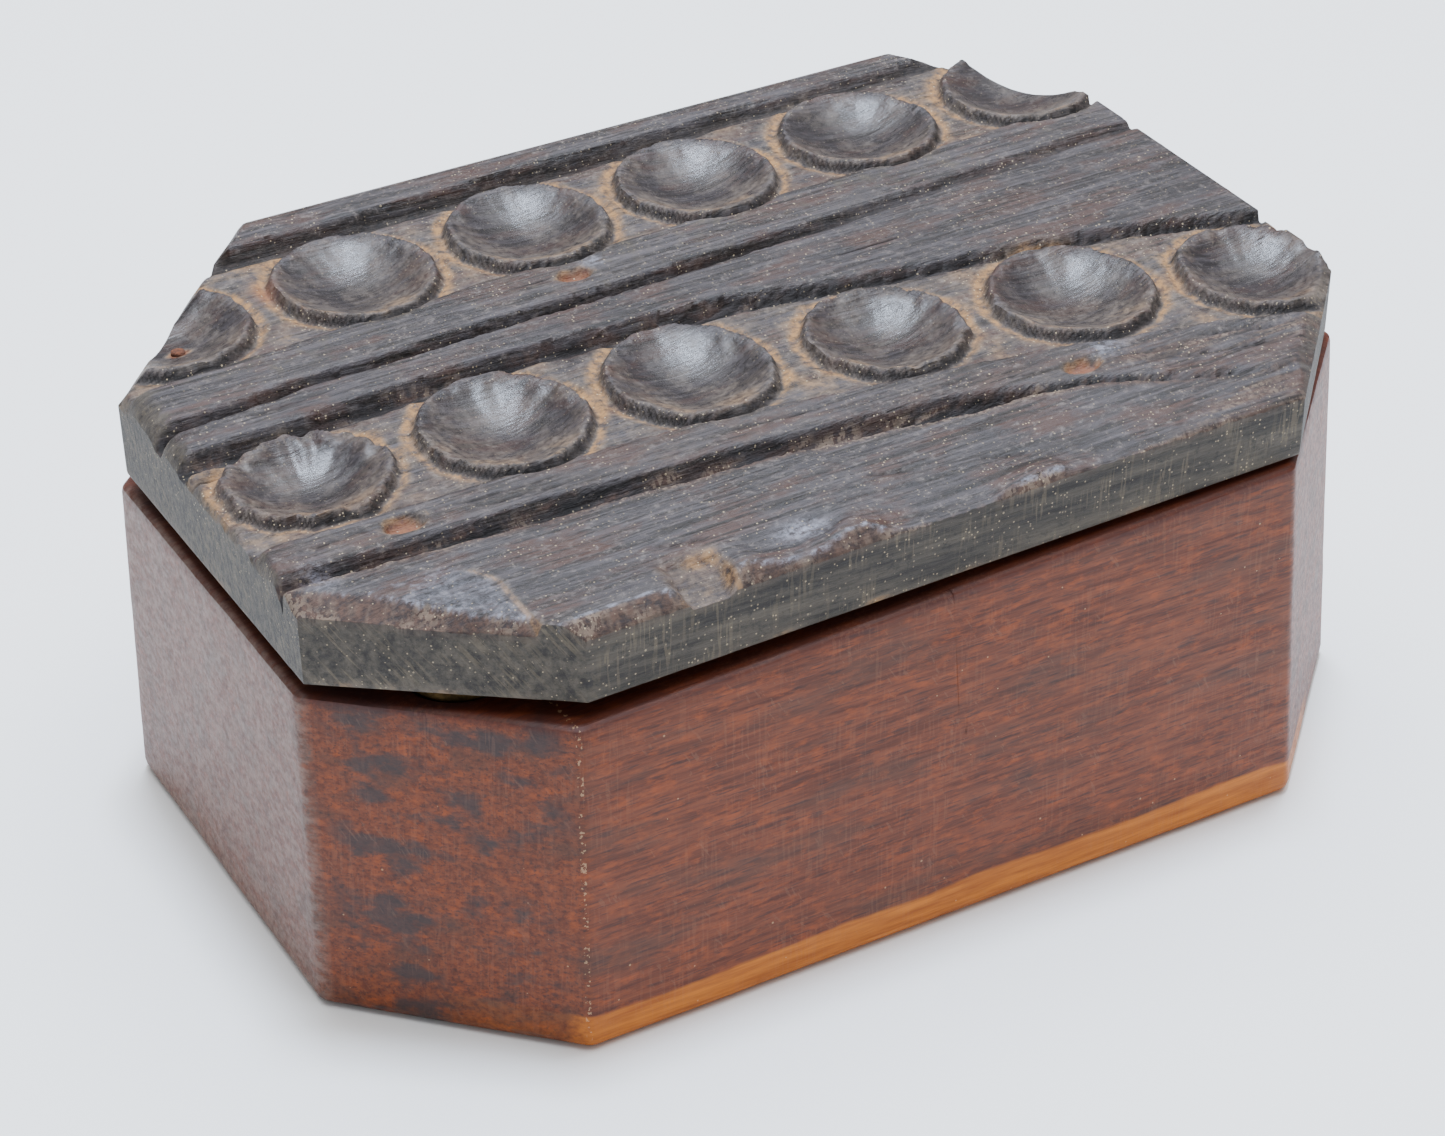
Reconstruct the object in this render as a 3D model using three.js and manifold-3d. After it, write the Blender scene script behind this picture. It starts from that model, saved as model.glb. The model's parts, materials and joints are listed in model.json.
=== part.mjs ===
// A small eight-sided wooden puzzle box. The body is one hollowed block, lower at its left end.
// The lid is a slab of old carved wood. It swings sideways on a pin hidden in the back right
// corner, and a loose steel pin hidden in the front left corner locks it. Turned upside down, the
// box lets that pin fall back into the lid, and the lid is free.
// Millimetres, +Z up, X along the box, front towards -Y, origin in the middle of the underside.

import * as THREE from 'three';
import { mergeVertices } from 'three/addons/utils/BufferGeometryUtils.js';
import Module from 'manifold-3d';

const wasm = await Module();
wasm.setup();

// ---- Driving dimensions -------------------------------------------------------------------

// body, its length and width taken at the base
const BODY_LENGTH = 113;
const BODY_WIDTH = 78.8;
const HEIGHT_LEFT = 32.1;
const HEIGHT_RIGHT = 37.1;
// how far each wall leans in between the base and the rim
const LEAN = { left: 0.1, right: 2.7, front: 1.9, back: 0.4 };
const BASE_EASE = 1.2;         // rounding of the bottom edge
const ARRIS_EASE = 1.0;        // rounding of the eight upright edges
const END_WALL = 10;
const SIDE_WALL = 9;
const FLOOR = 6;
const CAVITY_RADIUS = 4;       // upright corners of the hollow
const PLAIN_BLOCK = 10;        // wood behind the two plain corner facets
const BLOCK_MARGIN = 1.8;      // wood between a bush's flange and the hollow
const FACET_MARGIN = 1.6;      // wood between a bush's flange and the corner facet

// corner facets, as the length cut off each side: [along X, along Y]
const BODY_CUTS = {
  frontLeft: [17.6, 17.0],
  frontRight: [18.7, 17.4],
  backRight: [13.0, 17.5],
  backLeft: [21.2, 21.4],
};
const LID_CUTS = {
  frontLeft: [18.6, 14.4],
  frontRight: [16.6, 16.4],
  backRight: [11.5, 17.0],
  backLeft: [21.6, 22.3],
};

// lid, and how far it stops short of the rim on each side
const LID_SHORT = { left: 0.2, right: 1.2, front: 0.9, back: 0.6 };
const LID_FRONT_THICK = 7.8;   // at the top of the carving
const LID_BACK_THICK = 10.8;
// worn shoulder between the carving's top and the sawn sides
const SHOULDER_DROP = 1.5;
const SHOULDER_WIDTH = { front: 1.4, left: 2.6, corner: 2.0, back: 1.8 };
const GAP_LEFT = 1.65;         // daylight between rim and lid at the left end
const GAP_RIGHT = 0.35;        // and at the right end

// carving on the lid, depths below its top face
const DISC_DIAMETER = 15.6;
const DISC_PITCH = 19.1;
const DISC_COUNT = 6;
const DISH_DIAMETER = 13.2;
const DISH_DEPTH = 1.6;
const GROUND_DEPTH = 1.6;
const GROOVE_DEPTH = 2.2;
const SPLIT_DEPTH = 2.9;
const FRONT_ROW_START = -46.1;
const BACK_ROW_START = -46.8;

// hidden pivot
const PIVOT_DIAMETER = 6;
const PIVOT_IN_LID = 4.6;
const PIVOT_IN_BODY = 19;
const PIVOT_NECK_DIAMETER = 4;
const PIVOT_NECK_LENGTH = 2.6;
const PIVOT_TOE = 2.2;         // full-width end of the pin below its neck
const BUSH_WALL = 1.4;
const BUSH_LENGTH = 11;
const BUSH_FLANGE_DIAMETER = 12;
const BUSH_FLANGE = 1.0;
const NAIL_DIAMETER = 1.9;
const NAIL_HEAD_DIAMETER = 3.6;
const NAIL_HEAD = 0.8;
const NAIL_SINK = 0.2;         // the nail's head below the facet

// swing stop
const SWING = 118;             // degrees, anticlockwise from above
const STOP_DIAMETER = 3;
const STOP_RADIUS = 9;         // from the pivot
const STOP_BEARING = 296;      // degrees from +X, seen from above, lid closed
const STOP_IN_BODY = 9;
const STOP_IN_LID = 2.2;

// gravity lock
const LOCK_SHANK_DIAMETER = 3.4;
const LOCK_HEAD_DIAMETER = 5.2;
const LOCK_HEAD = 1.0;
const LOCK_TRAVEL = 2.6;
const COLLAR_DIAMETER = 8;
const COLLAR = 0.9;
const STRIKE_WALL = 1.4;
const STRIKE_LENGTH = 7;
const STRIKE_FLANGE_DIAMETER = 9.6;
const STRIKE_FLANGE = 1.4;

// old nail ends left in the lid, by their place or by their distances from the lid's sides
const OLD_NAILS = {
  old_nail_front_left: { x: -42.3, fromFront: 20.35, diameter: 2.2, length: 4.2 },
  old_nail_middle: { x: -10.3, y: 12, diameter: 2.0, length: 4.6 },
  old_nail_front_right: { x: 21.7, y: -24.7, diameter: 2.2, length: 4.0 },
  old_nail_back_left: { fromLeft: 8.1, fromBack: 16.7, diameter: 1.3, length: 2.6 },
};
const NAIL_RISE = 0.5;         // how far a nail end stands above the sunk ground's level

// clearances
const FIT = 0.3;               // between a pressed or seated piece and its seat
const RUN = 0.35;              // between pieces that turn or slide on each other
const FACE = 0.35;             // between the lid and the flanges that carry it
const TIP = 0.15;              // how far the lock pin's tip draws back inside the lid

const ROUND = 32;              // sides of a round piece
const FAR = 300;               // larger than the box, for planes that cut

// ---- Solids and cuts ----------------------------------------------------------------------

function toSolid(geometry) {
  const bare = geometry.clone();
  bare.deleteAttribute('normal');
  bare.deleteAttribute('uv');
  const merged = mergeVertices(bare, 1e-4);
  return new wasm.Manifold(new wasm.Mesh({
    numProp: 3,
    vertProperties: new Float32Array(merged.attributes.position.array),
    triVerts: new Uint32Array(merged.index.array),
  }));
}

function toGeometry(solid) {
  const mesh = solid.getMesh();
  const geometry = new THREE.BufferGeometry();
  geometry.setAttribute('position', new THREE.BufferAttribute(mesh.vertProperties, 3));
  geometry.setIndex(new THREE.BufferAttribute(mesh.triVerts, 1));
  geometry.computeVertexNormals();
  return geometry;
}

function cutAway(geometry, cutters) {
  let solid = toSolid(geometry);
  for (const cutter of cutters) {
    solid = solid.subtract(toSolid(cutter));
  }
  return toGeometry(solid);
}

// a round pin between two heights on Z
function rod(diameter, low, high, sides = ROUND) {
  const geometry = new THREE.CylinderGeometry(diameter / 2, diameter / 2, high - low, sides);
  geometry.rotateX(Math.PI / 2);
  geometry.translate(0, 0, (low + high) / 2);
  return geometry;
}

// a turned piece about Z from its half section, [radius, height] pairs
function turned(section, sides = ROUND) {
  const points = section.map(([radius, height]) => new THREE.Vector2(radius, height));
  const geometry = new THREE.LatheGeometry(points, sides);
  geometry.rotateX(Math.PI / 2);
  return geometry;
}

// a plate of the given outline between two heights on Z
function plate(shape, low, high) {
  const geometry = new THREE.ExtrudeGeometry(shape, {
    depth: high - low,
    bevelEnabled: false,
    curveSegments: 10,
  });
  geometry.translate(0, 0, low);
  return geometry;
}

function at(geometry, place) {
  return geometry.translate(place.x, place.y, place.z ?? 0);
}

// ---- Outlines -----------------------------------------------------------------------------

const rimLength = BODY_LENGTH - LEAN.left - LEAN.right;
const rimWidth = BODY_WIDTH - LEAN.front - LEAN.back;
const rimMiddle = { x: (LEAN.left - LEAN.right) / 2, y: (LEAN.front - LEAN.back) / 2 };

// eight corners, anticlockwise from the left end of the front side
function octagon(left, right, front, back, cuts) {
  return [
    [left + cuts.frontLeft[0], front],
    [right - cuts.frontRight[0], front],
    [right, front + cuts.frontRight[1]],
    [right, back - cuts.backRight[1]],
    [right - cuts.backRight[0], back],
    [left + cuts.backLeft[0], back],
    [left, back - cuts.backLeft[1]],
    [left, front + cuts.frontLeft[1]],
  ].map(([x, y]) => new THREE.Vector2(x, y));
}

// the middle of a corner facet at the rim and the direction into the wood
function facet(corner, signX, signY) {
  const [cutX, cutY] = BODY_CUTS[corner];
  const middle = new THREE.Vector2(
    signX * (rimLength / 2 - cutX / 2),
    signY * (rimWidth / 2 - cutY / 2),
  );
  const inward = new THREE.Vector2(-signX * cutY, -signY * cutX).normalize();
  return { middle, inward };
}

// the hollow's cut at a corner, so that `block` of wood is left behind the body's facet
function hollowCut(corner, block) {
  const [cutX, cutY] = BODY_CUTS[corner];
  const across = Math.hypot(cutX, cutY);
  const reach = (END_WALL * cutY + SIDE_WALL * cutX - cutX * cutY) / across;
  const more = Math.max(block - reach, CAVITY_RADIUS);
  return [more * across / cutY, more * across / cutX];
}

// an outline with every corner rounded
function rounded(points, radius) {
  const shape = new THREE.Shape();
  points.forEach((corner, i) => {
    const before = points[(i + points.length - 1) % points.length];
    const after = points[(i + 1) % points.length];
    const enter = corner.clone().add(before.clone().sub(corner).setLength(radius));
    const leave = corner.clone().add(after.clone().sub(corner).setLength(radius));
    if (i === 0) {
      shape.moveTo(enter.x, enter.y);
    } else {
      shape.lineTo(enter.x, enter.y);
    }
    shape.quadraticCurveTo(corner.x, corner.y, leave.x, leave.y);
  });
  shape.closePath();
  return shape;
}

// a strip between two smooth lines, each given by a few points from left to right
function strip(lowLine, highLine) {
  const smooth = (line) => new THREE.SplineCurve(
    line.map(([x, y]) => new THREE.Vector2(x, y)),
  ).getPoints(14);
  return new THREE.Shape([...smooth(lowLine), ...smooth(highLine).reverse()]);
}

function groove(line, halfWidth) {
  return strip(
    line.map(([x, y]) => [x, y - halfWidth]),
    line.map(([x, y]) => [x, y + halfWidth]),
  );
}

// ---- Frames -------------------------------------------------------------------------------

// The rim and the lid's underside are planes that rise towards the right end. Each has a frame
// of its own, with its origin over the middle of the rim.
function risingPlane(heightLeft, heightRight) {
  const tilt = Math.atan2(heightRight - heightLeft, rimLength);
  const middle = (heightLeft + heightRight) / 2;
  const matrix = new THREE.Matrix4().makeRotationY(-tilt);
  matrix.setPosition(rimMiddle.x, rimMiddle.y, middle);
  return { tilt, matrix, middle };
}

const rim = risingPlane(HEIGHT_LEFT, HEIGHT_RIGHT);
const seat = risingPlane(HEIGHT_LEFT + GAP_LEFT, HEIGHT_RIGHT + GAP_RIGHT);

const bushInner = PIVOT_DIAMETER + 2 * RUN;
const bushOuter = bushInner + 2 * BUSH_WALL;
const strikeInner = LOCK_SHANK_DIAMETER + 2 * RUN;
const strikeOuter = strikeInner + 2 * STRIKE_WALL;

const pivotFacet = facet('backRight', 1, 1);
const pivotInset = BUSH_FLANGE_DIAMETER / 2 + FACET_MARGIN;
const pivot = pivotFacet.middle.clone().addScaledVector(pivotFacet.inward, pivotInset);

const lockFacet = facet('frontLeft', -1, -1);
const lockInset = STRIKE_FLANGE_DIAMETER / 2 + FACET_MARGIN;
const lock = lockFacet.middle.clone().addScaledVector(lockFacet.inward, lockInset);

const stopAngle = THREE.MathUtils.degToRad(STOP_BEARING);
const stop = new THREE.Vector2(
  pivot.x + STOP_RADIUS * Math.cos(stopAngle),
  pivot.y + STOP_RADIUS * Math.sin(stopAngle),
);

// heights in the lid's own frame, where 0 is its underside
const neckLow = -PIVOT_IN_BODY + PIVOT_TOE;
const nailHeight = neckLow + PIVOT_NECK_LENGTH / 2;
const collarLow = 0.1;
const collarHigh = collarLow + COLLAR;
const headLow = collarHigh + 0.1 + LOCK_TRAVEL;
const headHigh = headLow + LOCK_HEAD;

// ---- Body ---------------------------------------------------------------------------------

function boxBody() {
  const tall = Math.max(HEIGHT_LEFT, HEIGHT_RIGHT) + 4;
  const outline = octagon(
    -BODY_LENGTH / 2, BODY_LENGTH / 2, -BODY_WIDTH / 2, BODY_WIDTH / 2, BODY_CUTS,
  );
  const block = new THREE.ExtrudeGeometry(rounded(outline, ARRIS_EASE), {
    depth: tall,
    bevelEnabled: true,
    bevelThickness: BASE_EASE,
    bevelSize: BASE_EASE,
    bevelOffset: -BASE_EASE,
    bevelSegments: 2,
    curveSegments: 3,
  });
  block.translate(0, 0, BASE_EASE);
  const corners = block.attributes.position;
  for (let i = 0; i < corners.count; i += 1) {
    const rise = corners.getZ(i) / rim.middle;
    const x = corners.getX(i);
    const y = corners.getY(i);
    corners.setX(i, x + rise * (x < 0 ? LEAN.left : -LEAN.right));
    corners.setY(i, y + rise * (y < 0 ? LEAN.front : -LEAN.back));
  }

  const aboveRim = new THREE.BoxGeometry(FAR, FAR, FAR);
  aboveRim.translate(0, 0, FAR / 2);
  aboveRim.applyMatrix4(rim.matrix);

  const hollow = octagon(
    -rimLength / 2 + END_WALL,
    rimLength / 2 - END_WALL,
    -rimWidth / 2 + SIDE_WALL,
    rimWidth / 2 - SIDE_WALL,
    {
      frontLeft: hollowCut('frontLeft', lockInset + STRIKE_FLANGE_DIAMETER / 2 + BLOCK_MARGIN),
      frontRight: hollowCut('frontRight', PLAIN_BLOCK),
      backRight: hollowCut('backRight', pivotInset + BUSH_FLANGE_DIAMETER / 2 + BLOCK_MARGIN),
      backLeft: hollowCut('backLeft', PLAIN_BLOCK),
    },
  );
  const cavity = at(plate(rounded(hollow, CAVITY_RADIUS), FLOOR, tall + 5), rimMiddle);

  const inSeatFrame = [
    // pivot: flange pocket, bush hole, and the plain hole for the pin's grooved end
    at(rod(BUSH_FLANGE_DIAMETER + 2 * FIT, -FACE - BUSH_FLANGE - FIT, 5), pivot),
    at(rod(bushOuter + 2 * FIT, -FACE - BUSH_LENGTH - FIT, 5), pivot),
    at(rod(bushInner, -PIVOT_IN_BODY - FIT, 5), pivot),
    at(rod(STOP_DIAMETER + 2 * FIT, -STOP_IN_BODY - FIT, 5), stop),
    // lock: flange pocket and strike hole
    at(rod(STRIKE_FLANGE_DIAMETER + 2 * FIT, -FACE - STRIKE_FLANGE - FIT, 5), lock),
    at(rod(strikeOuter + 2 * FIT, -FACE - STRIKE_LENGTH - FIT, 5), lock),
    ...nailPath(FIT),
  ];
  for (const cutter of inSeatFrame) {
    cutter.applyMatrix4(seat.matrix);
  }
  return cutAway(block, [aboveRim, cavity, ...inSeatFrame]);
}

// ---- Retaining nail: through the back right facet into the pivot pin's neck ----------------

// lay a piece made along +Z on the line from the facet towards the pivot
function alongNail(geometry) {
  const inward = new THREE.Vector3(pivotFacet.inward.x, pivotFacet.inward.y, 0);
  const turn = new THREE.Quaternion().setFromUnitVectors(new THREE.Vector3(0, 0, 1), inward);
  geometry.applyQuaternion(turn);
  return at(geometry, { x: pivotFacet.middle.x, y: pivotFacet.middle.y, z: nailHeight });
}

// where the leaning facet lies at the nail's height, measured from the rim's facet
const facetStart = -(1 - (seat.middle + nailHeight) / rim.middle)
  * (LEAN.right * -pivotFacet.inward.x + LEAN.back * -pivotFacet.inward.y);

function nailPath(clear) {
  const outside = facetStart - 5;
  const headSeat = facetStart + NAIL_SINK + NAIL_HEAD + clear;
  return [
    alongNail(rod(NAIL_DIAMETER + 2 * clear, outside, pivotInset, 16)),
    alongNail(rod(NAIL_HEAD_DIAMETER + 2 * clear, outside, headSeat, 16)),
  ];
}

function retainingNail() {
  const tip = pivotInset - PIVOT_NECK_DIAMETER / 2 - FIT;
  const shank = NAIL_DIAMETER / 2;
  const head = NAIL_HEAD_DIAMETER / 2;
  const headTop = facetStart + NAIL_SINK;
  return alongNail(turned([
    [0, headTop],
    [head, headTop],
    [head, headTop + NAIL_HEAD],
    [shank, headTop + NAIL_HEAD],
    [shank, tip - shank / 2],
    [shank / 2, tip],
    [0, tip],
  ], 16));
}

// ---- Lid ----------------------------------------------------------------------------------

// The top face slopes down to the front. Depths are measured below it.
const lidFront = -rimWidth / 2 + LID_SHORT.front;
const lidBack = rimWidth / 2 - LID_SHORT.back;
const lidLeft = -rimLength / 2 + LID_SHORT.left;
const lidRight = rimLength / 2 - LID_SHORT.right;
const topSlope = (LID_BACK_THICK - LID_FRONT_THICK) / (lidBack - lidFront);
const topAt = (y) => LID_FRONT_THICK + (y - lidFront) * topSlope;

function onTop(geometry) {
  geometry.rotateX(Math.atan(topSlope));
  return geometry.translate(0, 0, topAt(0));
}

// the lines of the carving, from the left end to the right: [x, y]
const BACK_GROOVE = [[-60, 30.6], [-20, 31.3], [12, 32.1], [60, 32.9]];
const BACK_GROUND_EDGE = [[-60, 13.4], [-20, 15.0], [10, 15.8], [60, 17.5]];
const PLANK_BACK = [[-60, 5.3], [-40, 7.2], [-15, 7.8], [20, 8.9], [60, 10.6]];
const PLANK_FRONT = [[-60, -0.8], [-40, 1.1], [-22, 1.8], [0, 0.5], [25, -3.9], [60, -11.0]];
const FRONT_GROUND_EDGE = [[-60, -14.2], [-25, -14.8], [0, -17.2], [25, -21.4], [60, -30.0]];
const SPLIT = [[-60, -23.6], [-40, -21.0], [-18, -21.6], [0, -23.6], [14, -26.0], [28, -30.4]];

// the middles of the two rows of discs
const frontRow = (x) => -6.3 - 0.0014 * (x + 41) ** 2;
const backRow = (x) => 23.0 + 0.02 * x;

function discs() {
  const places = [];
  for (let i = 0; i < DISC_COUNT; i += 1) {
    const front = FRONT_ROW_START + i * DISC_PITCH;
    const back = BACK_ROW_START + i * DISC_PITCH;
    places.push({ x: front, y: frontRow(front) });
    places.push({ x: back, y: backRow(back) });
  }
  return places;
}

function carving() {
  const grounds = [
    plate(strip(FRONT_GROUND_EDGE, PLANK_FRONT), -GROUND_DEPTH, 5),
    plate(strip(BACK_GROUND_EDGE, BACK_GROOVE), -GROUND_DEPTH, 5),
  ];
  const standing = discs().map((place) => at(rod(DISC_DIAMETER, -10, 10, 28), place));
  const cleared = grounds.map((ground) => cutAway(ground, standing));

  const dishRadius = (DISH_DIAMETER ** 2 / 4 + DISH_DEPTH ** 2) / (2 * DISH_DEPTH);
  const dishes = discs().map((place) => {
    const dish = new THREE.SphereGeometry(dishRadius, 20, 24);
    dish.rotateX(Math.PI / 2);
    return at(dish, { ...place, z: dishRadius - DISH_DEPTH });
  });

  const grooves = [
    plate(groove(BACK_GROOVE, 1.2), -GROOVE_DEPTH, 5),
    plate(groove(PLANK_BACK, 0.8), -GROOVE_DEPTH, 5),
    plate(groove(PLANK_FRONT, 0.9), -GROOVE_DEPTH, 5),
    plate(groove(SPLIT, 1.4), -SPLIT_DEPTH, 5),
  ];
  return [...cleared, ...dishes, ...grooves].map(onTop);
}

// where the front panel falls away to the sawn side: [left, right, width in Y]
const FRONT_FALLS = [[-28, -21, 5], [-8, 3.5, 9], [12, 45, 10]];

function frontFalls() {
  return FRONT_FALLS.map(([left, right, width]) => {
    const wedge = new THREE.BoxGeometry(right - left, 2 * width, 6);
    wedge.translate((left + right) / 2, 0, 3);
    wedge.rotateX(Math.atan2(SHOULDER_DROP, width));
    return wedge.translate(0, lidFront + width, topAt(lidFront + width));
  });
}

// all that lies above a plane that passes the drop below the top at `point`, on a side of the
// lid, and rises inwards
function aboveShoulder(point, outward, width) {
  const geometry = new THREE.BoxGeometry(FAR, FAR, FAR);
  geometry.translate(0, 0, FAR / 2);
  const axis = new THREE.Vector3(-outward.y, outward.x, 0).normalize();
  const turn = new THREE.Quaternion().setFromAxisAngle(axis, Math.atan2(SHOULDER_DROP, width));
  geometry.applyQuaternion(turn);
  return onTop(geometry.translate(point.x, point.y, -SHOULDER_DROP));
}

function shoulders() {
  const { frontLeft, backLeft } = LID_CUTS;
  return [
    aboveShoulder({ x: 0, y: lidFront }, { x: 0, y: -1 }, SHOULDER_WIDTH.front),
    aboveShoulder({ x: 0, y: lidBack }, { x: 0, y: 1 }, SHOULDER_WIDTH.back),
    aboveShoulder({ x: lidLeft, y: 0 }, { x: -1, y: 0 }, SHOULDER_WIDTH.left),
    aboveShoulder(
      { x: lidLeft + frontLeft[0], y: lidFront },
      { x: -frontLeft[1], y: -frontLeft[0] },
      SHOULDER_WIDTH.corner,
    ),
    aboveShoulder(
      { x: lidLeft + backLeft[0], y: lidBack },
      { x: -backLeft[1], y: backLeft[0] },
      SHOULDER_WIDTH.corner,
    ),
  ];
}

// the curved slot that the stop pin runs in
function stopSlot() {
  const half = STOP_DIAMETER / 2 + RUN;
  const start = THREE.MathUtils.degToRad(STOP_BEARING - SWING);
  const shape = new THREE.Shape();
  shape.absarc(0, 0, STOP_RADIUS + half, start, stopAngle, false);
  shape.absarc(0, 0, STOP_RADIUS - half, stopAngle, start, true);
  shape.closePath();
  const top = STOP_IN_LID + FIT;
  const ends = [start, stopAngle].map((angle) => at(rod(2 * half, -5, top), {
    x: pivot.x + STOP_RADIUS * Math.cos(angle),
    y: pivot.y + STOP_RADIUS * Math.sin(angle),
  }));
  return [at(plate(shape, -5, top), pivot), ...ends];
}

function nailPlace(nail) {
  return {
    x: nail.x ?? lidLeft + nail.fromLeft,
    y: nail.y ?? ('fromFront' in nail ? lidFront + nail.fromFront : lidBack - nail.fromBack),
  };
}

function lidSlab() {
  const outline = octagon(lidLeft, lidRight, lidFront, lidBack, LID_CUTS);
  const slab = plate(new THREE.Shape(outline), 0, LID_BACK_THICK + 5);
  const aboveTop = new THREE.BoxGeometry(FAR, FAR, FAR);
  aboveTop.translate(0, 0, FAR / 2);

  const nailHoles = Object.values(OLD_NAILS).map((nail) => {
    const place = nailPlace(nail);
    const low = topAt(place.y) - GROUND_DEPTH - nail.length - FIT;
    return at(rod(nail.diameter + 2 * FIT, low, topAt(place.y) + 5, 12), place);
  });
  return cutAway(slab, [
    onTop(aboveTop),
    ...carving(),
    ...shoulders(),
    ...frontFalls(),
    ...nailHoles,
    ...stopSlot(),
    at(rod(PIVOT_DIAMETER + 2 * FIT, -5, PIVOT_IN_LID + FIT), pivot),
    at(rod(COLLAR_DIAMETER + 2 * FIT, -5, collarHigh + FIT), lock),
    at(rod(LOCK_HEAD_DIAMETER + 2 * RUN, -5, headHigh + FIT), lock),
  ]);
}

// ---- Pivot --------------------------------------------------------------------------------

function pivotPin() {
  const full = PIVOT_DIAMETER / 2;
  const neck = PIVOT_NECK_DIAMETER / 2;
  return at(turned([
    [0, -PIVOT_IN_BODY],
    [full - 0.5, -PIVOT_IN_BODY],
    [full, -PIVOT_IN_BODY + 0.5],
    [full, neckLow],
    [neck, neckLow],
    [neck, neckLow + PIVOT_NECK_LENGTH],
    [full, neckLow + PIVOT_NECK_LENGTH],
    [full, PIVOT_IN_LID],
    [0, PIVOT_IN_LID],
  ]), pivot);
}

// a flanged tube, open at both ends, with its flange on top
function flangedTube(inner, outer, flangeDiameter, flange, length) {
  return turned([
    [inner / 2, -FACE - length],
    [outer / 2, -FACE - length],
    [outer / 2, -FACE - flange],
    [flangeDiameter / 2, -FACE - flange],
    [flangeDiameter / 2, -FACE - 0.2],
    [flangeDiameter / 2 - 0.2, -FACE],
    [inner / 2, -FACE],
    [inner / 2, -FACE - length],
  ]);
}

function pivotBush() {
  const tube = flangedTube(
    bushInner, bushOuter, BUSH_FLANGE_DIAMETER, BUSH_FLANGE, BUSH_LENGTH,
  );
  return at(tube, pivot);
}

function stopPin() {
  const radius = STOP_DIAMETER / 2;
  return at(turned([
    [0, -STOP_IN_BODY],
    [radius, -STOP_IN_BODY],
    [radius, STOP_IN_LID - 0.4],
    [radius - 0.4, STOP_IN_LID],
    [0, STOP_IN_LID],
  ]), stop);
}

// ---- Gravity lock -------------------------------------------------------------------------

function lockPin() {
  const shank = LOCK_SHANK_DIAMETER / 2;
  const head = LOCK_HEAD_DIAMETER / 2;
  return at(turned([
    [0, TIP],
    [shank - 0.5, TIP],
    [shank, TIP + 0.5],
    [shank, headLow],
    [head, headLow],
    [head, headHigh - 0.2],
    [head - 0.2, headHigh],
    [0, headHigh],
  ]), lock);
}

function lockCollar() {
  const inner = strikeInner / 2;
  const outer = COLLAR_DIAMETER / 2;
  return at(turned([
    [inner, collarLow],
    [outer, collarLow],
    [outer, collarHigh],
    [inner, collarHigh],
    [inner, collarLow],
  ]), lock);
}

function strikeBush() {
  const tube = flangedTube(
    strikeInner, strikeOuter, STRIKE_FLANGE_DIAMETER, STRIKE_FLANGE, STRIKE_LENGTH,
  );
  return at(tube, lock);
}

// ---- Old nail ends ------------------------------------------------------------------------

function oldNail(nail) {
  const place = nailPlace(nail);
  const low = topAt(place.y) - GROUND_DEPTH - nail.length;
  return at(rod(nail.diameter, low, low + nail.length + NAIL_RISE, 12), place);
}

// ---- Assembly -----------------------------------------------------------------------------

const rosewood = [0x6e3c2d, 0.6, 0];
const oldWood = [0x3c3632, 0.75, 0];
const steel = [0x9a9a98, 0.35, 1];
const brass = [0xb08d4a, 0.35, 1];
const rust = [0x7a3f1e, 0.9, 0.2];

function piece(name, geometry, [color, roughness, metalness]) {
  const material = new THREE.MeshStandardMaterial({ color, roughness, metalness });
  const mesh = new THREE.Mesh(geometry, material);
  mesh.name = name;
  return mesh;
}

const puzzleBox = new THREE.Group();
puzzleBox.add(piece('box_body', boxBody(), rosewood));

// everything else lies square to the lid, which rises towards the right end
const lidFrame = new THREE.Group();
lidFrame.rotation.y = -seat.tilt;
lidFrame.position.set(rimMiddle.x, rimMiddle.y, seat.middle);
lidFrame.add(piece('lid_slab', lidSlab(), oldWood));
lidFrame.add(piece('pivot_pin', pivotPin(), steel));
lidFrame.add(piece('pivot_bush', pivotBush(), brass));
lidFrame.add(piece('retaining_nail', retainingNail(), steel));
lidFrame.add(piece('stop_pin', stopPin(), steel));
lidFrame.add(piece('lock_pin', lockPin(), steel));
lidFrame.add(piece('lock_collar', lockCollar(), brass));
lidFrame.add(piece('strike_bush', strikeBush(), brass));
for (const [name, nail] of Object.entries(OLD_NAILS)) {
  lidFrame.add(piece(name, oldNail(nail), rust));
}
puzzleBox.add(lidFrame);

export default puzzleBox;
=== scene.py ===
import json
import math

import bmesh
import bpy
from mathutils import Matrix, Vector, noise


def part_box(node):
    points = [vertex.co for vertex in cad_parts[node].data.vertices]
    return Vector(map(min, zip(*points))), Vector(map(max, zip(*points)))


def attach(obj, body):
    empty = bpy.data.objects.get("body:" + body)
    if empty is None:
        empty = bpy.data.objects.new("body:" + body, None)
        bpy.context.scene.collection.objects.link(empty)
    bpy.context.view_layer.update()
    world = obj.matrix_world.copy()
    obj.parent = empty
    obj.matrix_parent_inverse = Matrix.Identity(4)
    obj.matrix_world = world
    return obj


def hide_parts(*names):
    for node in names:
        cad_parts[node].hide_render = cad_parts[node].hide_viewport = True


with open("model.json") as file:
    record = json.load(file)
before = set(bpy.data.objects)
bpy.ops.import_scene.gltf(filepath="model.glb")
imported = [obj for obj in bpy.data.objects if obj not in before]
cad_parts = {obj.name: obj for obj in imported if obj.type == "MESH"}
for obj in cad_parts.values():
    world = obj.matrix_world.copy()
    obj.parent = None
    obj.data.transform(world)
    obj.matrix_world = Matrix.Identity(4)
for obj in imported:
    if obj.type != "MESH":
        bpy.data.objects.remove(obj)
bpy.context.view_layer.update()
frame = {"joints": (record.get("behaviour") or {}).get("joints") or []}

# ---------------------------------------------------------------------------------------------
# Camera: looks down on the front left corner of the box from a short distance.

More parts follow.
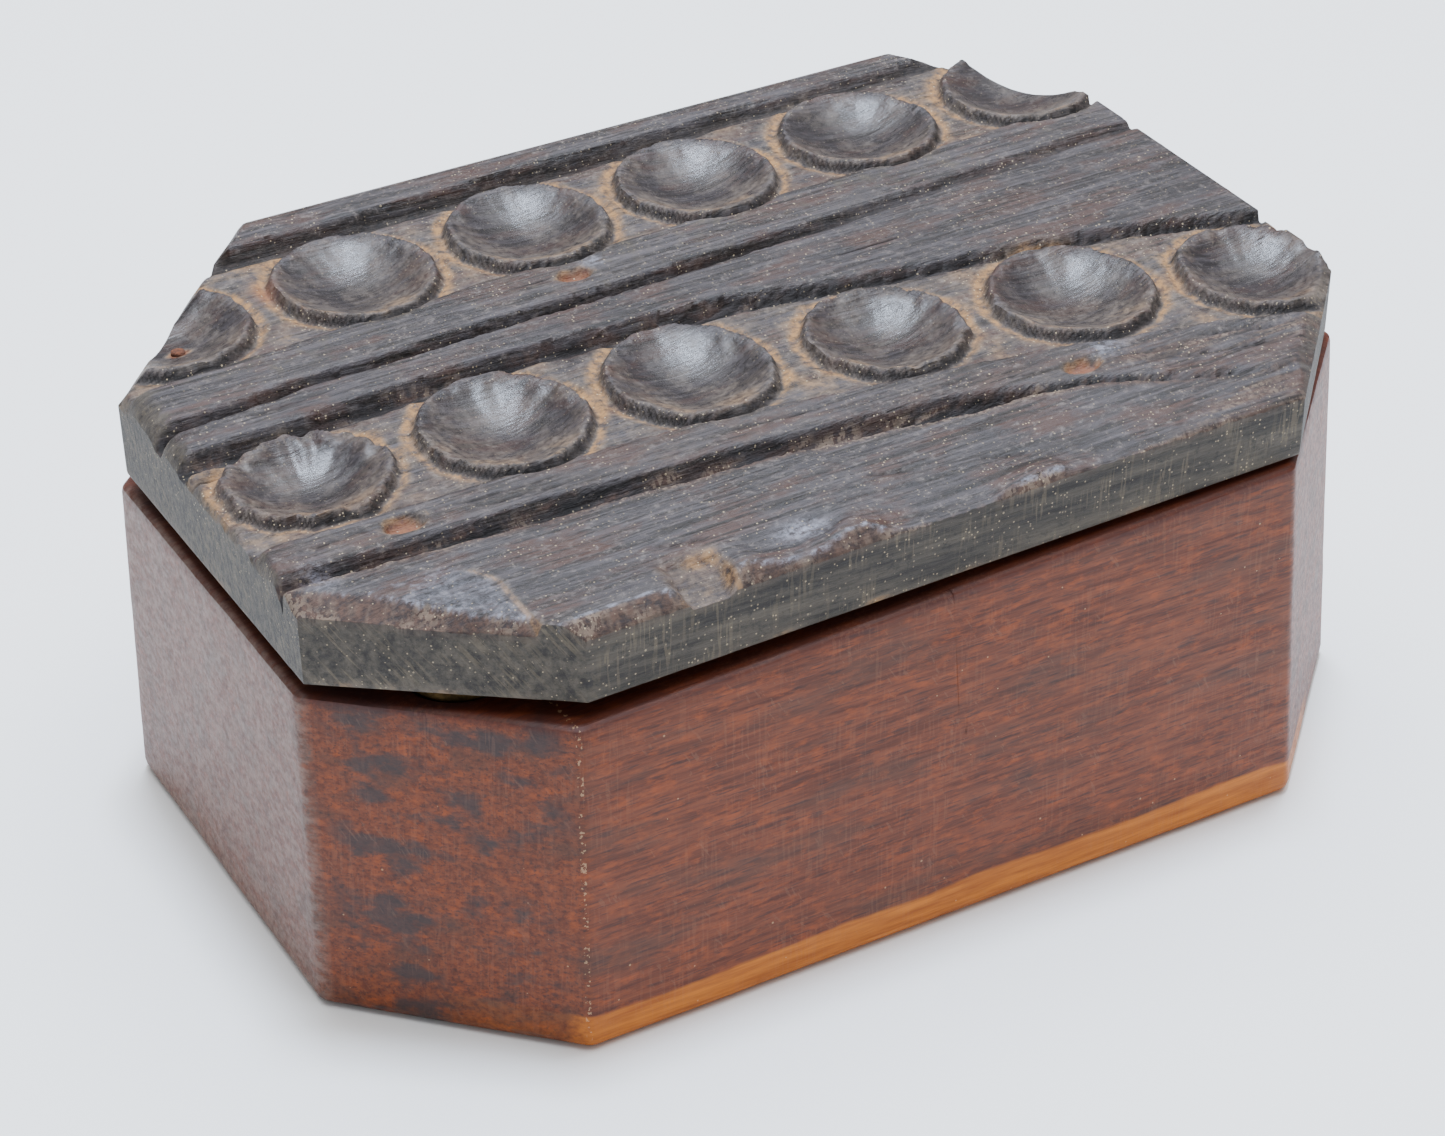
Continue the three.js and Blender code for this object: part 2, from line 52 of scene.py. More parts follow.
LOOK_AT = Vector((-0.00981, -0.01163, 0.025))
AZIMUTH = math.radians(-31.51)
ELEVATION = math.radians(32.58)
ROLL = math.radians(1.38)
DISTANCE = 0.2920

back = Vector((
    math.sin(AZIMUTH) * math.cos(ELEVATION),
    -math.cos(AZIMUTH) * math.cos(ELEVATION),
    math.sin(ELEVATION),
))
level = Vector((math.cos(AZIMUTH), math.sin(AZIMUTH), 0))
upright = back.cross(level)
right = math.cos(ROLL) * level + math.sin(ROLL) * upright
up = -math.sin(ROLL) * level + math.cos(ROLL) * upright

camera_data = bpy.data.cameras.new("camera")
camera_data.lens = 79.0
camera_data.sensor_width = 36.0
camera_data.clip_start = 0.01
camera = bpy.data.objects.new("camera", camera_data)
bpy.context.scene.collection.objects.link(camera)
camera.matrix_world = Matrix.Translation(LOOK_AT + back * DISTANCE) @ Matrix((
    (right.x, up.x, back.x, 0),
    (right.y, up.y, back.y, 0),
    (right.z, up.z, back.z, 0),
    (0, 0, 0, 1),
))
bpy.context.scene.camera = camera

# ---------------------------------------------------------------------------------------------
# The box body: one block of rosewood with the sapwood left on its lower front edge, sawn to
# eight leaning sides and hollowed from above. Its rim rises to the right. Sanded, thinly oiled.

MM = 0.001
BODY_LENGTH = 113.0
BODY_WIDTH = 78.8
HEIGHT_LEFT = 32.1
HEIGHT_RIGHT = 37.1
LEAN = {"left": 0.1, "right": 2.7, "front": 1.9, "back": 0.4}
BODY_CUTS = {
    "front_left": (17.6, 17.0),
    "front_right": (18.7, 17.4),
    "back_right": (13.0, 17.5),
    "back_left": (21.2, 21.4),
}
ARRIS = 0.5
BASE_EASE = 1.3
RIM_EASE = 0.7
WALL_STEP = 0.9
HOLLOW_FLOOR = 6.0
HOLLOW_CORNER = 4.0

rim_length = BODY_LENGTH - LEAN["left"] - LEAN["right"]
rim_width = BODY_WIDTH - LEAN["front"] - LEAN["back"]
rim_middle = Vector(((LEAN["left"] - LEAN["right"]) / 2, (LEAN["front"] - LEAN["back"]) / 2, 0))
rim_height = (HEIGHT_LEFT + HEIGHT_RIGHT) / 2
rim_slope = (HEIGHT_RIGHT - HEIGHT_LEFT) / rim_length

# The lid and all the metal lie square to the swivel's axis, in a frame whose origin is over the
# middle of the rim, on the lid's underside.
PIVOT = Vector((42.5, 24.97, 0))
swivel = next(joint for joint in frame["joints"] if joint["name"] == "lid_swivel")
axis = Vector(swivel["axis"])
lid_frame = (
    Matrix.Translation(Vector(swivel["pos_m"]))
    @ Matrix.Rotation(-math.atan2(-axis.x, axis.z), 4, "Y")
    @ Matrix.Scale(MM, 4)
    @ Matrix.Translation(-PIVOT)
)
lock_low, lock_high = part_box("lock_pin")
LOCK = lid_frame.inverted() @ ((lock_low + lock_high) / 2)
LOCK.z = 0
STOP = PIVOT + Vector((9 * math.cos(math.radians(296)), 9 * math.sin(math.radians(296)), 0))


def ramp(low, high, value):
    share = min(max((value - low) / (high - low), 0.0), 1.0)
    return share * share * (3 - 2 * share)


def mix(a, b, share):
    return a + (b - a) * share


def ripple(x, y, z, size):
    return noise.noise(Vector((x / size, y / size, z / size)))


def octagon(left, right, front, back, cuts):
    """Eight corners, anticlockwise from the left end of the front side."""
    return [
        Vector((left + cuts["front_left"][0], front, 0)),
        Vector((right - cuts["front_right"][0], front, 0)),
        Vector((right, front + cuts["front_right"][1], 0)),
        Vector((right, back - cuts["back_right"][1], 0)),
        Vector((right - cuts["back_right"][0], back, 0)),
        Vector((left + cuts["back_left"][0], back, 0)),
        Vector((left, back - cuts["back_left"][1], 0)),
        Vector((left, front + cuts["front_left"][1], 0)),
    ]


def rounded_loop(mesh, corners, radius, segments, step):
    """Adds a closed ring of edges with rounded corners and no edge longer than the step."""
    outline = bmesh.new()
    outline.faces.new([outline.verts.new(corner) for corner in corners])
    bmesh.ops.bevel(
        outline, geom=list(outline.verts), offset=radius, offset_type="OFFSET",
        affect="VERTICES", segments=segments, profile=0.5, material=-1,
    )
    bmesh.ops.delete(outline, geom=list(outline.faces), context="FACES_ONLY")
    for edge in list(outline.edges):
        parts = int(edge.calc_length() / step)
        if parts > 1:
            bmesh.ops.subdivide_edges(outline, edges=[edge], cuts=parts - 1)
    data = bpy.data.meshes.new("outline")
    outline.to_mesh(data)
    outline.free()
    already = len(mesh.edges)
    mesh.from_mesh(data)
    bpy.data.meshes.remove(data)
    return list(mesh.edges)[already:]


def raise_ring(mesh, ring):
    """Extrudes a ring of edges; gives the new ring's edges and corners."""
    grown = bmesh.ops.extrude_edge_only(mesh, edges=ring)["geom"]
    corners = [item for item in grown if isinstance(item, bmesh.types.BMVert)]
    fresh = set(corners)
    edges = [
        item for item in grown
        if isinstance(item, bmesh.types.BMEdge) and set(item.verts) <= fresh
    ]
    return edges, corners


def rim_z(x):
    return rim_height + (x - rim_middle.x) * rim_slope


def block_point(foot, height, ease):
    """Where a point of the foot outline lies at a height, with its lean and an easing inwards."""
    rise = height / rim_height
    lean_x = LEAN["left"] if foot.x < 0 else -LEAN["right"]
    lean_y = LEAN["front"] if foot.y < 0 else -LEAN["back"]
    x = foot.x * (1 - ease / (BODY_LENGTH / 2)) + rise * lean_x
    y = foot.y * (1 - ease / (BODY_WIDTH / 2)) + rise * lean_y
    return Vector((x, y, height))


def hole(mesh, centre, radius, depth, height, segments=32):
    """A round pocket let into the rim: its mouth's edges, with the walls and floor below."""
    mouth = bmesh.ops.create_circle(mesh, cap_ends=False, segments=segments, radius=radius)["verts"]
    for corner in mouth:
        corner.co += centre
        corner.co.z = height(corner.co.x)
    edges = list({edge for corner in mouth for edge in corner.link_edges})
    lower, corners = raise_ring(mesh, edges)
    for corner in corners:
        corner.co.z -= depth
    bmesh.ops.triangle_fill(mesh, edges=lower, use_beauty=True)
    return edges


def place(mesh, name, matrix, body, replaced, sharp=32):
    """Finishes a mesh as a piece: its place baked in, normals out, riding on its body."""
    bmesh.ops.transform(mesh, matrix=matrix, verts=mesh.verts)
    bmesh.ops.remove_doubles(mesh, verts=mesh.verts, dist=2e-6)
    bmesh.ops.recalc_face_normals(mesh, faces=mesh.faces)
    for face in mesh.faces:
        face.smooth = True
    data = bpy.data.meshes.new(name)
    mesh.to_mesh(data)
    mesh.free()
    data.set_sharp_from_angle(angle=math.radians(sharp))
    piece = bpy.data.objects.new(name, data)
    bpy.context.scene.collection.objects.link(piece)
    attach(piece, body)
    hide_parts(*replaced)
    return piece


block = bmesh.new()
foot_corners = octagon(
    -BODY_LENGTH / 2, BODY_LENGTH / 2, -BODY_WIDTH / 2, BODY_WIDTH / 2, BODY_CUTS,
)
foot = rounded_loop(block, foot_corners, ARRIS, 3, WALL_STEP)
foot_of = {corner: corner.co.copy() for edge in foot for corner in edge.verts}
for corner, where in foot_of.items():
    corner.co = block_point(where, 0, BASE_EASE)
underside = list(foot)

# heights of the rings as shares of the way up, after the rounding at the base
base_rings = [(0.12, 0.75), (0.38, 0.38), (0.75, 0.12), (1.3, 0.0)]
wall_rings = 34
ring = foot
for index in range(len(base_rings) + wall_rings + 3):
    last = {tuple(round(n, 5) for n in corner.co): foot_of[corner]
            for edge in ring for corner in edge.verts}
    ring, corners = raise_ring(block, ring)
    for corner in corners:
        where = last[tuple(round(n, 5) for n in corner.co)]
        foot_of[corner] = where
        top = rim_z(where.x)
        if index < len(base_rings):
            height, ease = base_rings[index]
        elif index < len(base_rings) + wall_rings:
            share = (index - len(base_rings) + 1) / wall_rings
            height, ease = mix(base_rings[-1][0], top - RIM_EASE, share), 0.0
        else:
            step = index - len(base_rings) - wall_rings
            height = top - RIM_EASE * (0.45, 0.13, 0.0)[step]
            ease = RIM_EASE * (0.12, 0.48, 1.0)[step]
        uneven = 0.05 * ripple(where.x, where.y, height, 9) + 0.03 * ripple(where.x, where.y, height, 3)
        corner.co = block_point(where, height, ease + uneven)
rim_outer = ring

FACET_WOOD = 1.6
BLOCK_WOOD = 1.8


def hollow_cut(corner, wood):
    cut_x, cut_y = BODY_CUTS[corner]
    across = math.hypot(cut_x, cut_y)
    reach = (10 * cut_y + 9 * cut_x - cut_x * cut_y) / across
    more = max(wood - reach, HOLLOW_CORNER)
    return (more * across / cut_y, more * across / cut_x)


hollow_corners = octagon(
    rim_middle.x - rim_length / 2 + 10, rim_middle.x + rim_length / 2 - 10,
    rim_middle.y - rim_width / 2 + 9, rim_middle.y + rim_width / 2 - 9,
    {
        "front_left": hollow_cut("front_left", 9.6 + FACET_WOOD + BLOCK_WOOD),
        "front_right": hollow_cut("front_right", 10),
        "back_right": hollow_cut("back_right", 12 + FACET_WOOD + BLOCK_WOOD),
        "back_left": hollow_cut("back_left", 10),
    },
)
rim_inner = rounded_loop(block, hollow_corners, HOLLOW_CORNER, 8, 2.0)
for corner in {c for edge in rim_inner for c in edge.verts}:
    corner.co.z = rim_z(corner.co.x)
ring = rim_inner
for depth_share, ease in ((0.02, -0.3), (0.9, -0.3), (0.96, 0.2), (0.99, 0.9), (1.0, 2.0)):
    ring, corners = raise_ring(block, ring)
    for corner in corners:
        top = rim_z(corner.co.x)
        flat = Vector((corner.co.x, corner.co.y)) - Vector((rim_middle.x, rim_middle.y))
        shrink = 0 if ease < 0 else ease
        corner.co.x = rim_middle.x + flat.x * (1 - shrink / (rim_length / 2 - 10))
        corner.co.y = rim_middle.y + flat.y * (1 - shrink / (rim_width / 2 - 9))
        corner.co.z = mix(top, HOLLOW_FLOOR, depth_share)
hollow_floor = ring

to_box = Matrix.Scale(1 / MM, 4) @ lid_frame
mouths = []
for local, radius, depth in (
    (PIVOT, 6.25, 1.6), (LOCK, 5.05, 2.2), (STOP, 1.75, 9.0),
):
    mouths += hole(block, (to_box @ local) * Vector((1, 1, 0)), radius, depth, rim_z)
bmesh.ops.triangle_fill(block, edges=rim_outer + rim_inner + mouths, use_beauty=True)
bmesh.ops.triangle_fill(block, edges=underside, use_beauty=True)
bmesh.ops.triangle_fill(block, edges=hollow_floor, use_beauty=True)
body = place(block, "hollowed_body", Matrix.Scale(MM, 4), "box", ["box_body"])


def linear(red, green, blue):
    """A colour given by its everyday 0 to 255 values."""
    return tuple(
        (n / 255 / 12.92 if n < 10.3 else ((n / 255 + 0.055) / 1.055) ** 2.4)
        for n in (red, green, blue)
    ) + (1.0,)


def put(tree, kind, inputs=None, **settings):
    """Adds a node, sets it up and joins or fills its inputs."""
    made = tree.nodes.new("ShaderNode" + kind)
    for key, value in settings.items():
        setattr(made, key, value)
    for key, value in (inputs or {}).items():
        if isinstance(value, bpy.types.NodeSocket):
            tree.links.new(value, made.inputs[key])
        else:
            made.inputs[key].default_value = value
    return made


def tint(tree, share, under, over):
    """Lays one colour over another by a share."""
    return put(tree, "Mix", {0: share, 6: under, 7: over}, data_type="RGBA").outputs[2]


def calc(tree, operation, first, second=0.0):
    return put(tree, "Math", {0: first, 1: second}, operation=operation).outputs[0]


def spread(tree, value, low, high, to_low=0.0, to_high=1.0):
    return put(tree, "MapRange", {
        "Value": value, "From Min": low, "From Max": high, "To Min": to_low, "To Max": to_high,
    }).outputs[0]


def cloud(tree, where, scale, size=1.0, detail=4.0, rough=0.55, turn=(0, 0, 0), shift=(0, 0, 0)):
    """Noise in millimetres, stretched by the scale; about 0.5 on average."""
    laid = put(tree, "Mapping", {
        "Vector": where, "Scale": scale, "Rotation": turn, "Location": shift,
    }).outputs[0]
    return put(tree, "TexNoise", {
        "Vector": laid, "Scale": size, "Detail": detail, "Roughness": rough,
    }).outputs[0]


def in_millimetres(tree):
    coordinates = put(tree, "TexCoord").outputs["Object"]
    return put(tree, "VectorMath", {0: coordinates, 1: (1000, 1000, 1000)}, operation="MULTIPLY").outputs[0]


def new_material(name):
    material = bpy.data.materials.new(name)
    material.use_nodes = True
    tree = material.node_tree
    return material, tree, tree.nodes["Principled BSDF"]


def finish_material(tree, shader, colour, roughness, height, strength, distance=0.0003):
    tree.links.new(colour, shader.inputs["Base Color"])
    tree.links.new(roughness, shader.inputs["Roughness"])
    bump = put(tree, "Bump", {"Height": height, "Strength": strength, "Distance": distance})
    tree.links.new(bump.outputs[0], shader.inputs["Normal"])


def effect(name, inputs, outputs):
    """A shader node group with named sockets, for an effect that several materials share."""
    group = bpy.data.node_groups.new(name, "ShaderNodeTree")
    for label, kind, value in inputs:
        socket = group.interface.new_socket(label, in_out="INPUT", socket_type=kind)
        if value is not None:
            socket.default_value = value
    for label, kind in outputs:
        group.interface.new_socket(label, in_out="OUTPUT", socket_type=kind)
    start = group.nodes.new("NodeGroupInput")
    end = group.nodes.new("NodeGroupOutput")
    return group, start, end


# specks: small pale crumbs of old polish and sawdust caught on the surface
specks, specks_in, specks_out = effect(
    "specks",
    [("Place", "NodeSocketVector", None), ("Pitch", "NodeSocketFloat", 1.3),
     ("Size", "NodeSocketFloat", 0.13), ("Share", "NodeSocketFloat", 0.3)],
    [("Mask", "NodeSocketFloat")],
)
pitch = calc(specks, "DIVIDE", 1.0, specks_in.outputs["Pitch"])
cells = put(specks, "TexVoronoi", {"Vector": specks_in.outputs["Place"], "Scale": pitch})
kept = calc(specks, "LESS_THAN", put(
    specks, "SeparateColor", {0: cells.outputs["Color"]},
).outputs[0], specks_in.outputs["Share"])
grown = calc(specks, "MULTIPLY", specks_in.outputs["Size"], put(
    specks, "SeparateColor", {0: cells.outputs["Color"]},
).outputs[1])
near = calc(specks, "LESS_THAN", cells.outputs["Distance"], grown)
specks.links.new(calc(specks, "MULTIPLY", kept, near), specks_out.inputs["Mask"])

# scratches: thin straight lines in one direction, broken up by a slow noise
scratches, scratches_in, scratches_out = effect(
    "scratches",
    [("Place", "NodeSocketVector", None), ("Turn", "NodeSocketVector", None),
     ("Stretch", "NodeSocketVector", (6.0, 6.0, 0.25)), ("Share", "NodeSocketFloat", 0.62)],
    [("Mask", "NodeSocketFloat")],
)
turned_place = put(scratches, "Mapping", {
    "Vector": scratches_in.outputs["Place"], "Rotation": scratches_in.outputs["Turn"],
}).outputs[0]
lines = put(scratches, "TexNoise", {
    "Vector": put(scratches, "VectorMath", {
        0: turned_place, 1: scratches_in.outputs["Stretch"],
    }, operation="MULTIPLY").outputs[0],
    "Scale": 1.0, "Detail": 2.0, "Roughness": 0.6,
}).outputs[0]
patches = put(scratches, "TexNoise", {
    "Vector": turned_place, "Scale": 0.22, "Detail": 2.0,
}).outputs[0]
over = calc(scratches, "GREATER_THAN", lines, scratches_in.outputs["Share"])
scratches.links.new(
    calc(scratches, "MULTIPLY", over, spread(scratches, patches, 0.42, 0.62)),
    scratches_out.inputs["Mask"],
)


def speck_mask(tree, where, pitch, size, share):
    made = put(tree, "Group", node_tree=specks)
    tree.links.new(where, made.inputs["Place"])
    made.inputs["Pitch"].default_value = pitch
    made.inputs["Size"].default_value = size
    made.inputs["Share"].default_value = share
    return made.outputs[0]


def scratch_mask(tree, where, turn, stretch, share):
    made = put(tree, "Group", node_tree=scratches)
    tree.links.new(where, made.inputs["Place"])
    made.inputs["Turn"].default_value = turn
    made.inputs["Stretch"].default_value = stretch
    made.inputs["Share"].default_value = share
    return made.outputs[0]


RED_BROWN = linear(116, 54, 20)
DEEP_RED = linear(76, 32, 16)
ORANGE_RED = linear(146, 66, 14)
GREY_FIGURE = linear(62, 42, 32)
SAPWOOD = linear(196, 112, 8)
CREAM = linear(205, 170, 130)

rosewood, tree, shader = new_material("oiled_rosewood")
mm = in_millimetres(tree)
x_mm, y_mm, z_mm = put(tree, "SeparateXYZ", {0: mm}).outputs[:3]
figure = cloud(tree, mm, (0.055, 0.26, 0.26), detail=6.0, rough=0.62)
streaks = cloud(tree, mm, (0.13, 2.0, 2.0), detail=6.0, rough=0.66)
mottle = cloud(tree, mm, (0.45, 0.8, 1.3), detail=6.0, rough=0.68)
pores = cloud(tree, mm, (0.4, 4.2, 4.2), detail=3.0)
colour = tint(tree, spread(tree, streaks, 0.36, 0.66), RED_BROWN, DEEP_RED)
colour = tint(tree, spread(tree, mottle, 0.50, 0.66, 0.0, 0.65), colour, ORANGE_RED)
colour = tint(tree, spread(tree, figure, 0.50, 0.64, 0.0, 0.5), colour, GREY_FIGURE)
colour = tint(tree, spread(tree, pores, 0.56, 0.66, 0.0, 0.62), colour, linear(44, 25, 23))
# dark knots of figure on the front left facet
on_facet = spread(tree, x_mm, -38.5, -41.0)
knots = cloud(tree, mm, (0.17, 0.17, 0.34), detail=5.0, rough=0.6, turn=(0.0, 0.12, 0.0))
knots = calc(tree, "MULTIPLY", on_facet, spread(tree, knots, 0.49, 0.60, 0.0, 0.8))
knots = calc(tree, "MULTIPLY", knots, spread(tree, x_mm, -56.0, -53.5))
colour = tint(tree, knots, colour, linear(44, 37, 38))
wavy_top = spread(tree, cloud(tree, mm, (0.045, 0.02, 0.02)), 0.3, 0.7, 3.3, 4.3)
under_top = spread(tree, calc(tree, "SUBTRACT", wavy_top, z_mm), -0.1, 0.25)
at_front = spread(tree, y_mm, -30.0, -33.0)
sap = calc(tree, "MULTIPLY", under_top, at_front)
sap = calc(tree, "MULTIPLY", sap, spread(tree, x_mm, -40.5, -38.7, 0.14, 1.0))
colour = tint(tree, sap, colour, tint(
    tree, spread(tree, streaks, 0.35, 0.65), SAPWOOD, linear(150, 78, 12),
))
# painted shade: the body darkened just below the eased rim, where the lid shades it
below_rim = calc(tree, "SUBTRACT", calc(tree, "MULTIPLY", x_mm, rim_slope), z_mm)
below_rim = calc(tree, "ADD", below_rim, rim_height - rim_middle.x * rim_slope)
rim_shade = spread(tree, below_rim, 1.1, 0.4, 0.0, 0.6)
colour = tint(tree, rim_shade, colour, linear(66, 30, 26))
sanding = scratch_mask(tree, mm, (0, 0, 0), (2.8, 2.8, 0.14), 0.56)
colour = tint(tree, calc(tree, "MULTIPLY", sanding, 0.06), colour, linear(176, 120, 92))
scuffs = scratch_mask(tree, mm, (0.3, 0.5, 0), (2.6, 2.6, 0.25), 0.64)
colour = tint(tree, calc(tree, "MULTIPLY", scuffs, 0.12), colour, linear(150, 112, 92))
crumbs = speck_mask(tree, mm, 1.3, 0.085, 0.3)
worn_arris = calc(tree, "LESS_THAN", calc(
    tree, "ABSOLUTE", calc(tree, "ADD", x_mm, BODY_LENGTH / 2 - BODY_CUTS["front_left"][0]),
), 0.22)
dots = cloud(tree, mm, (2.6, 2.6, 2.6), detail=2.0)
worn_arris = calc(tree, "MULTIPLY", worn_arris, calc(tree, "GREATER_THAN", dots, 0.6))
pale = calc(tree, "MAXIMUM", crumbs, calc(tree, "MULTIPLY", worn_arris, at_front))
colour = tint(tree, calc(tree, "MULTIPLY", pale, 0.42), colour, CREAM)
# painted reflection: the left end face greyed unevenly to stand for the sheen of the pale floor it reflects
end_sheen = calc(
    tree, "MULTIPLY", spread(tree, x_mm, -55.4, -56.2), spread(tree, mottle, 0.4, 0.62, 0.1, 0.7),
)
colour = tint(tree, end_sheen, colour, linear(112, 100, 92))
roughness = spread(tree, streaks, 0.35, 0.65, 0.38, 0.54)
height = calc(tree, "SUBTRACT", calc(tree, "MULTIPLY", pores, -0.5), calc(tree, "MULTIPLY", sanding, 0.2))
shader.inputs["Specular IOR Level"].default_value = 0.3
finish_material(tree, shader, colour, roughness, height, 0.3, 0.0002)
body.data.materials.append(rosewood)

# ---------------------------------------------------------------------------------------------
# The lid: a slab of much older, weathered wood, cut from a carved board. Two rows of hollowed
# discs stand between ridges; the front edge and the front left corner are broken and worn.

LID_LEFT, LID_RIGHT, LID_FRONT, LID_BACK = -54.9, 53.9, -37.35, 37.65
LID_CUTS = {
    "front_left": (18.6, 14.4),
    "front_right": (16.6, 16.4),
    "back_right": (11.5, 17.0),
    "back_left": (21.6, 22.3),
}
SAWN_FRONT = 6.3               # height of the sawn side's top edge at the front
TOP_SLOPE = 0.04
CARVED_TOP = 1.5               # height of the carving above that edge's plane
LID_STEP = 0.31

# lines of the carving from the left end to the right, [x, y]
BACK_WALL = [(-60, 32.3), (-20, 32.7), (20, 33.3), (60, 33.8)]
BACK_GROOVE_WIDTH = [(-60, 2.4), (0, 1.8), (20, 1.2), (60, 1.0)]
REAR_RIDGE_BACK = [(-60, 12.6), (-20, 15.0), (0, 15.5), (20, 16.0), (60, 17.4)]
REAR_RIDGE_FRONT = [(-60, 6.4), (-50, 7.0), (-40, 7.8), (-20, 8.5), (0, 9.0), (20, 9.8), (60, 12.0)]
PLANK_BACK = [(-60, 4.9), (-50, 5.6), (-40, 6.5), (-20, 7.0), (0, 7.4), (20, 8.2), (60, 10.6)]
PLANK_FRONT = [
    (-60, 1.4), (-50, 1.9), (-40, 2.2), (-30, 2.9), (-20, 3.0), (-10, 2.4), (0, 1.5),
    (10, -0.6), (20, -2.3), (30, -3.8), (40, -5.8), (50, -8.8), (60, -11.5),
]
LOW_RIDGE_BACK = [
    (-60, -14.2), (-50, -14.5), (-30, -14.8), (-10, -16.0), (0, -17.5), (10, -19.0),
    (20, -20.7), (30, -22.6), (45, -26.6), (60, -31),
]
LOW_RIDGE_FRONT = [
    (-60, -18.6), (-45, -19.0), (-30, -19.3), (-10, -20.8), (0, -22.0), (10, -23.4),
    (14, -24.6), (20, -26.3), (28, -29.6), (60, -42),
]
SPLIT_LIP = [
    (-60, -19.7), (-51, -20.3), (-44, -20.9), (-36, -21.6), (-30, -21.9), (-10, -23.3),
    (0, -24.4), (10, -25.8), (14, -26.2), (20, -27.1), (28, -30.0), (60, -42.4),
]
DISCS = [
    (-46.0, -6.1, 7.8, 6.7, 0.9), (-27.5, -6.7, 7.9, 7.9, 0.35), (-9.2, -7.5, 8.0, 8.0, 0.25),
    (10.0, -10.2, 7.9, 7.5, 0.55), (29.1, -12.9, 8.1, 8.1, 0.25), (47.1, -17.9, 7.8, 7.9, 0.6),
    (-47.2, 22.1, 8.0, 7.6, 0.4), (-28.2, 22.5, 8.0, 7.9, 0.3), (-9.4, 23.1, 8.1, 7.9, 0.25),
    (9.5, 23.4, 8.2, 7.9, 0.2), (29.1, 24.1, 8.3, 7.9, 0.2), (48.8, 24.1, 8.2, 7.8, 0.3),
]
# height of the worn front edge above the sawn side, how far back it reaches, and its chips
FRONT_CREST = [
    (-60, 1.4), (-39, 1.45), (-29, 1.4), (-26, 0.9), (-20, 1.1), (-9, 0.9), (-4, 0.45), (4, 0.3),
    (12, 0.3), (22, 0.4), (34, 0.45), (60, 0.2),
]
FRONT_FALL = [(-60, 4), (-24, 4.5), (-8, 6), (0, 8), (12, 9), (60, 10)]
FRONT_CHIPS = [
    (-60, 0), (-38.5, 0.1), (-37, 0.5), (-33, 0.7), (-29, 0.6), (-27.5, 0.1), (-26.4, -0.7),
    (-22.8, -0.8), (-21.6, 0.2), (-20.4, 0.85), (-18.5, 0.05), (-15.5, -0.3), (-13, 0.0),
    (-11, 0.6), (-9.6, 0.95), (-8.2, 0.3), (-6.6, -0.25), (-2, -0.3), (3, -0.25), (5.5, 0.35),
    (8.5, 0.75), (10.6, 0.6), (12.2, 0.0), (16, -0.25), (20, -0.1), (60, 0),
]
# cracks that follow the grain: start, end
CRACKS = [
    (-26, -30.1, -21, -31.1), (-5, -29.8, -0.5, -30.8), (5.2, -31.8, 10.2, -33.2),
    (-51, -16.6, -45, -16.2), (-39, -16.6, -27, -17.1), (-36, -17.9, -24, -18.7),
    (-12, -18.2, -2, -19.3), (8, -21.2, 17, -22.7), (14, -23.2, 20, -24.3),
    (25, -24.8, 33, -26.4), (30, -27.4, 40, -29.6), (34, -25.2, 42, -27.6),
    (-17.5, 12.6, -11.5, 12.2), (-45, -12.6, -40, -13.2),
    (28, -30.2, 34, -32.0), (-47, 4.4, -38, 4.9), (12, 3.2, 26, 2.9),
]
NAILS = {
    "old_nail_front_left": (-42.3, -17.0, 1.1, 0.15),
    "old_nail_middle": (-10.3, 12.0, 1.0, 0.15),
    "old_nail_front_right": (21.7, -24.7, 1.1, 0.15),
    "old_nail_back_left": (-46.8, 20.95, 0.65, -0.8),
}


WEAR = ("dust", "dirt_and_shade", "torn_and_shade", "rust", "painted_highlight", "sawn", "dish")
# painted highlights, pale bluish glints: strength, place and half size in mm
HIGHLIGHT_SPOTS = [
    (0.9, -13.6, -33.6, 2.3, 1.0), (0.7, -51.6, -20.2, 1.2, 1.6),
    (0.8, 25.3, -23.4, 1.6, 1.0), (0.7, -7.6, 13.2, 1.2, 0.8),
]


def along(line, x):
    """Where a carving line lies at x."""
    for (x0, y0), (x1, y1) in zip(line, line[1:]):
        if x <= x1:
            return mix(y0, y1, (x - x0) / (x1 - x0))
    return line[-1][1]


def wavy(line, x, seed, amount=1.0):
    wander = 0.22 * ripple(x, 0, seed, 7) + 0.14 * ripple(x, 0, seed, 1.9)
    wander += 0.12 * ripple(x, 0, seed, 0.7)
    return along(line, x) + amount * wander


def step(edge, y, width):
    return ramp(edge - width / 2, edge + width / 2, y)


def front_panel(x, y, swell, grain):
    plain = 1.15 + 0.12 * swell + 0.06 * grain
    surface = mix(along(FRONT_CREST, x), plain, ramp(-36.6, -36.6 + along(FRONT_FALL, x), y))
    chips = along(FRONT_CHIPS, x) + 0.1 * ripple(x, 3, 5, 1.3)
    surface += chips * (1 - ramp(-36.2, -33.9, y))
    notch = ramp(-27.4, -26.2, x) * (1 - ramp(-22.4, -21.4, x))
    surface -= 0.75 * notch * (1 - ramp(-33.6, -32.6, y + 0.25 * (x + 24)))
    scooped = ramp(-20.6, -18, x) * (1 - ramp(-12, -9.5, x))
    surface -= 0.4 * scooped * ramp(-36, -34.5, y) * (1 - ramp(-33.4, -31.6, y))
    face = (y - LID_FRONT) * 1.3 + 0.16 * ripple(x, 0.3 * y, 2, 0.5)
    return surface, face


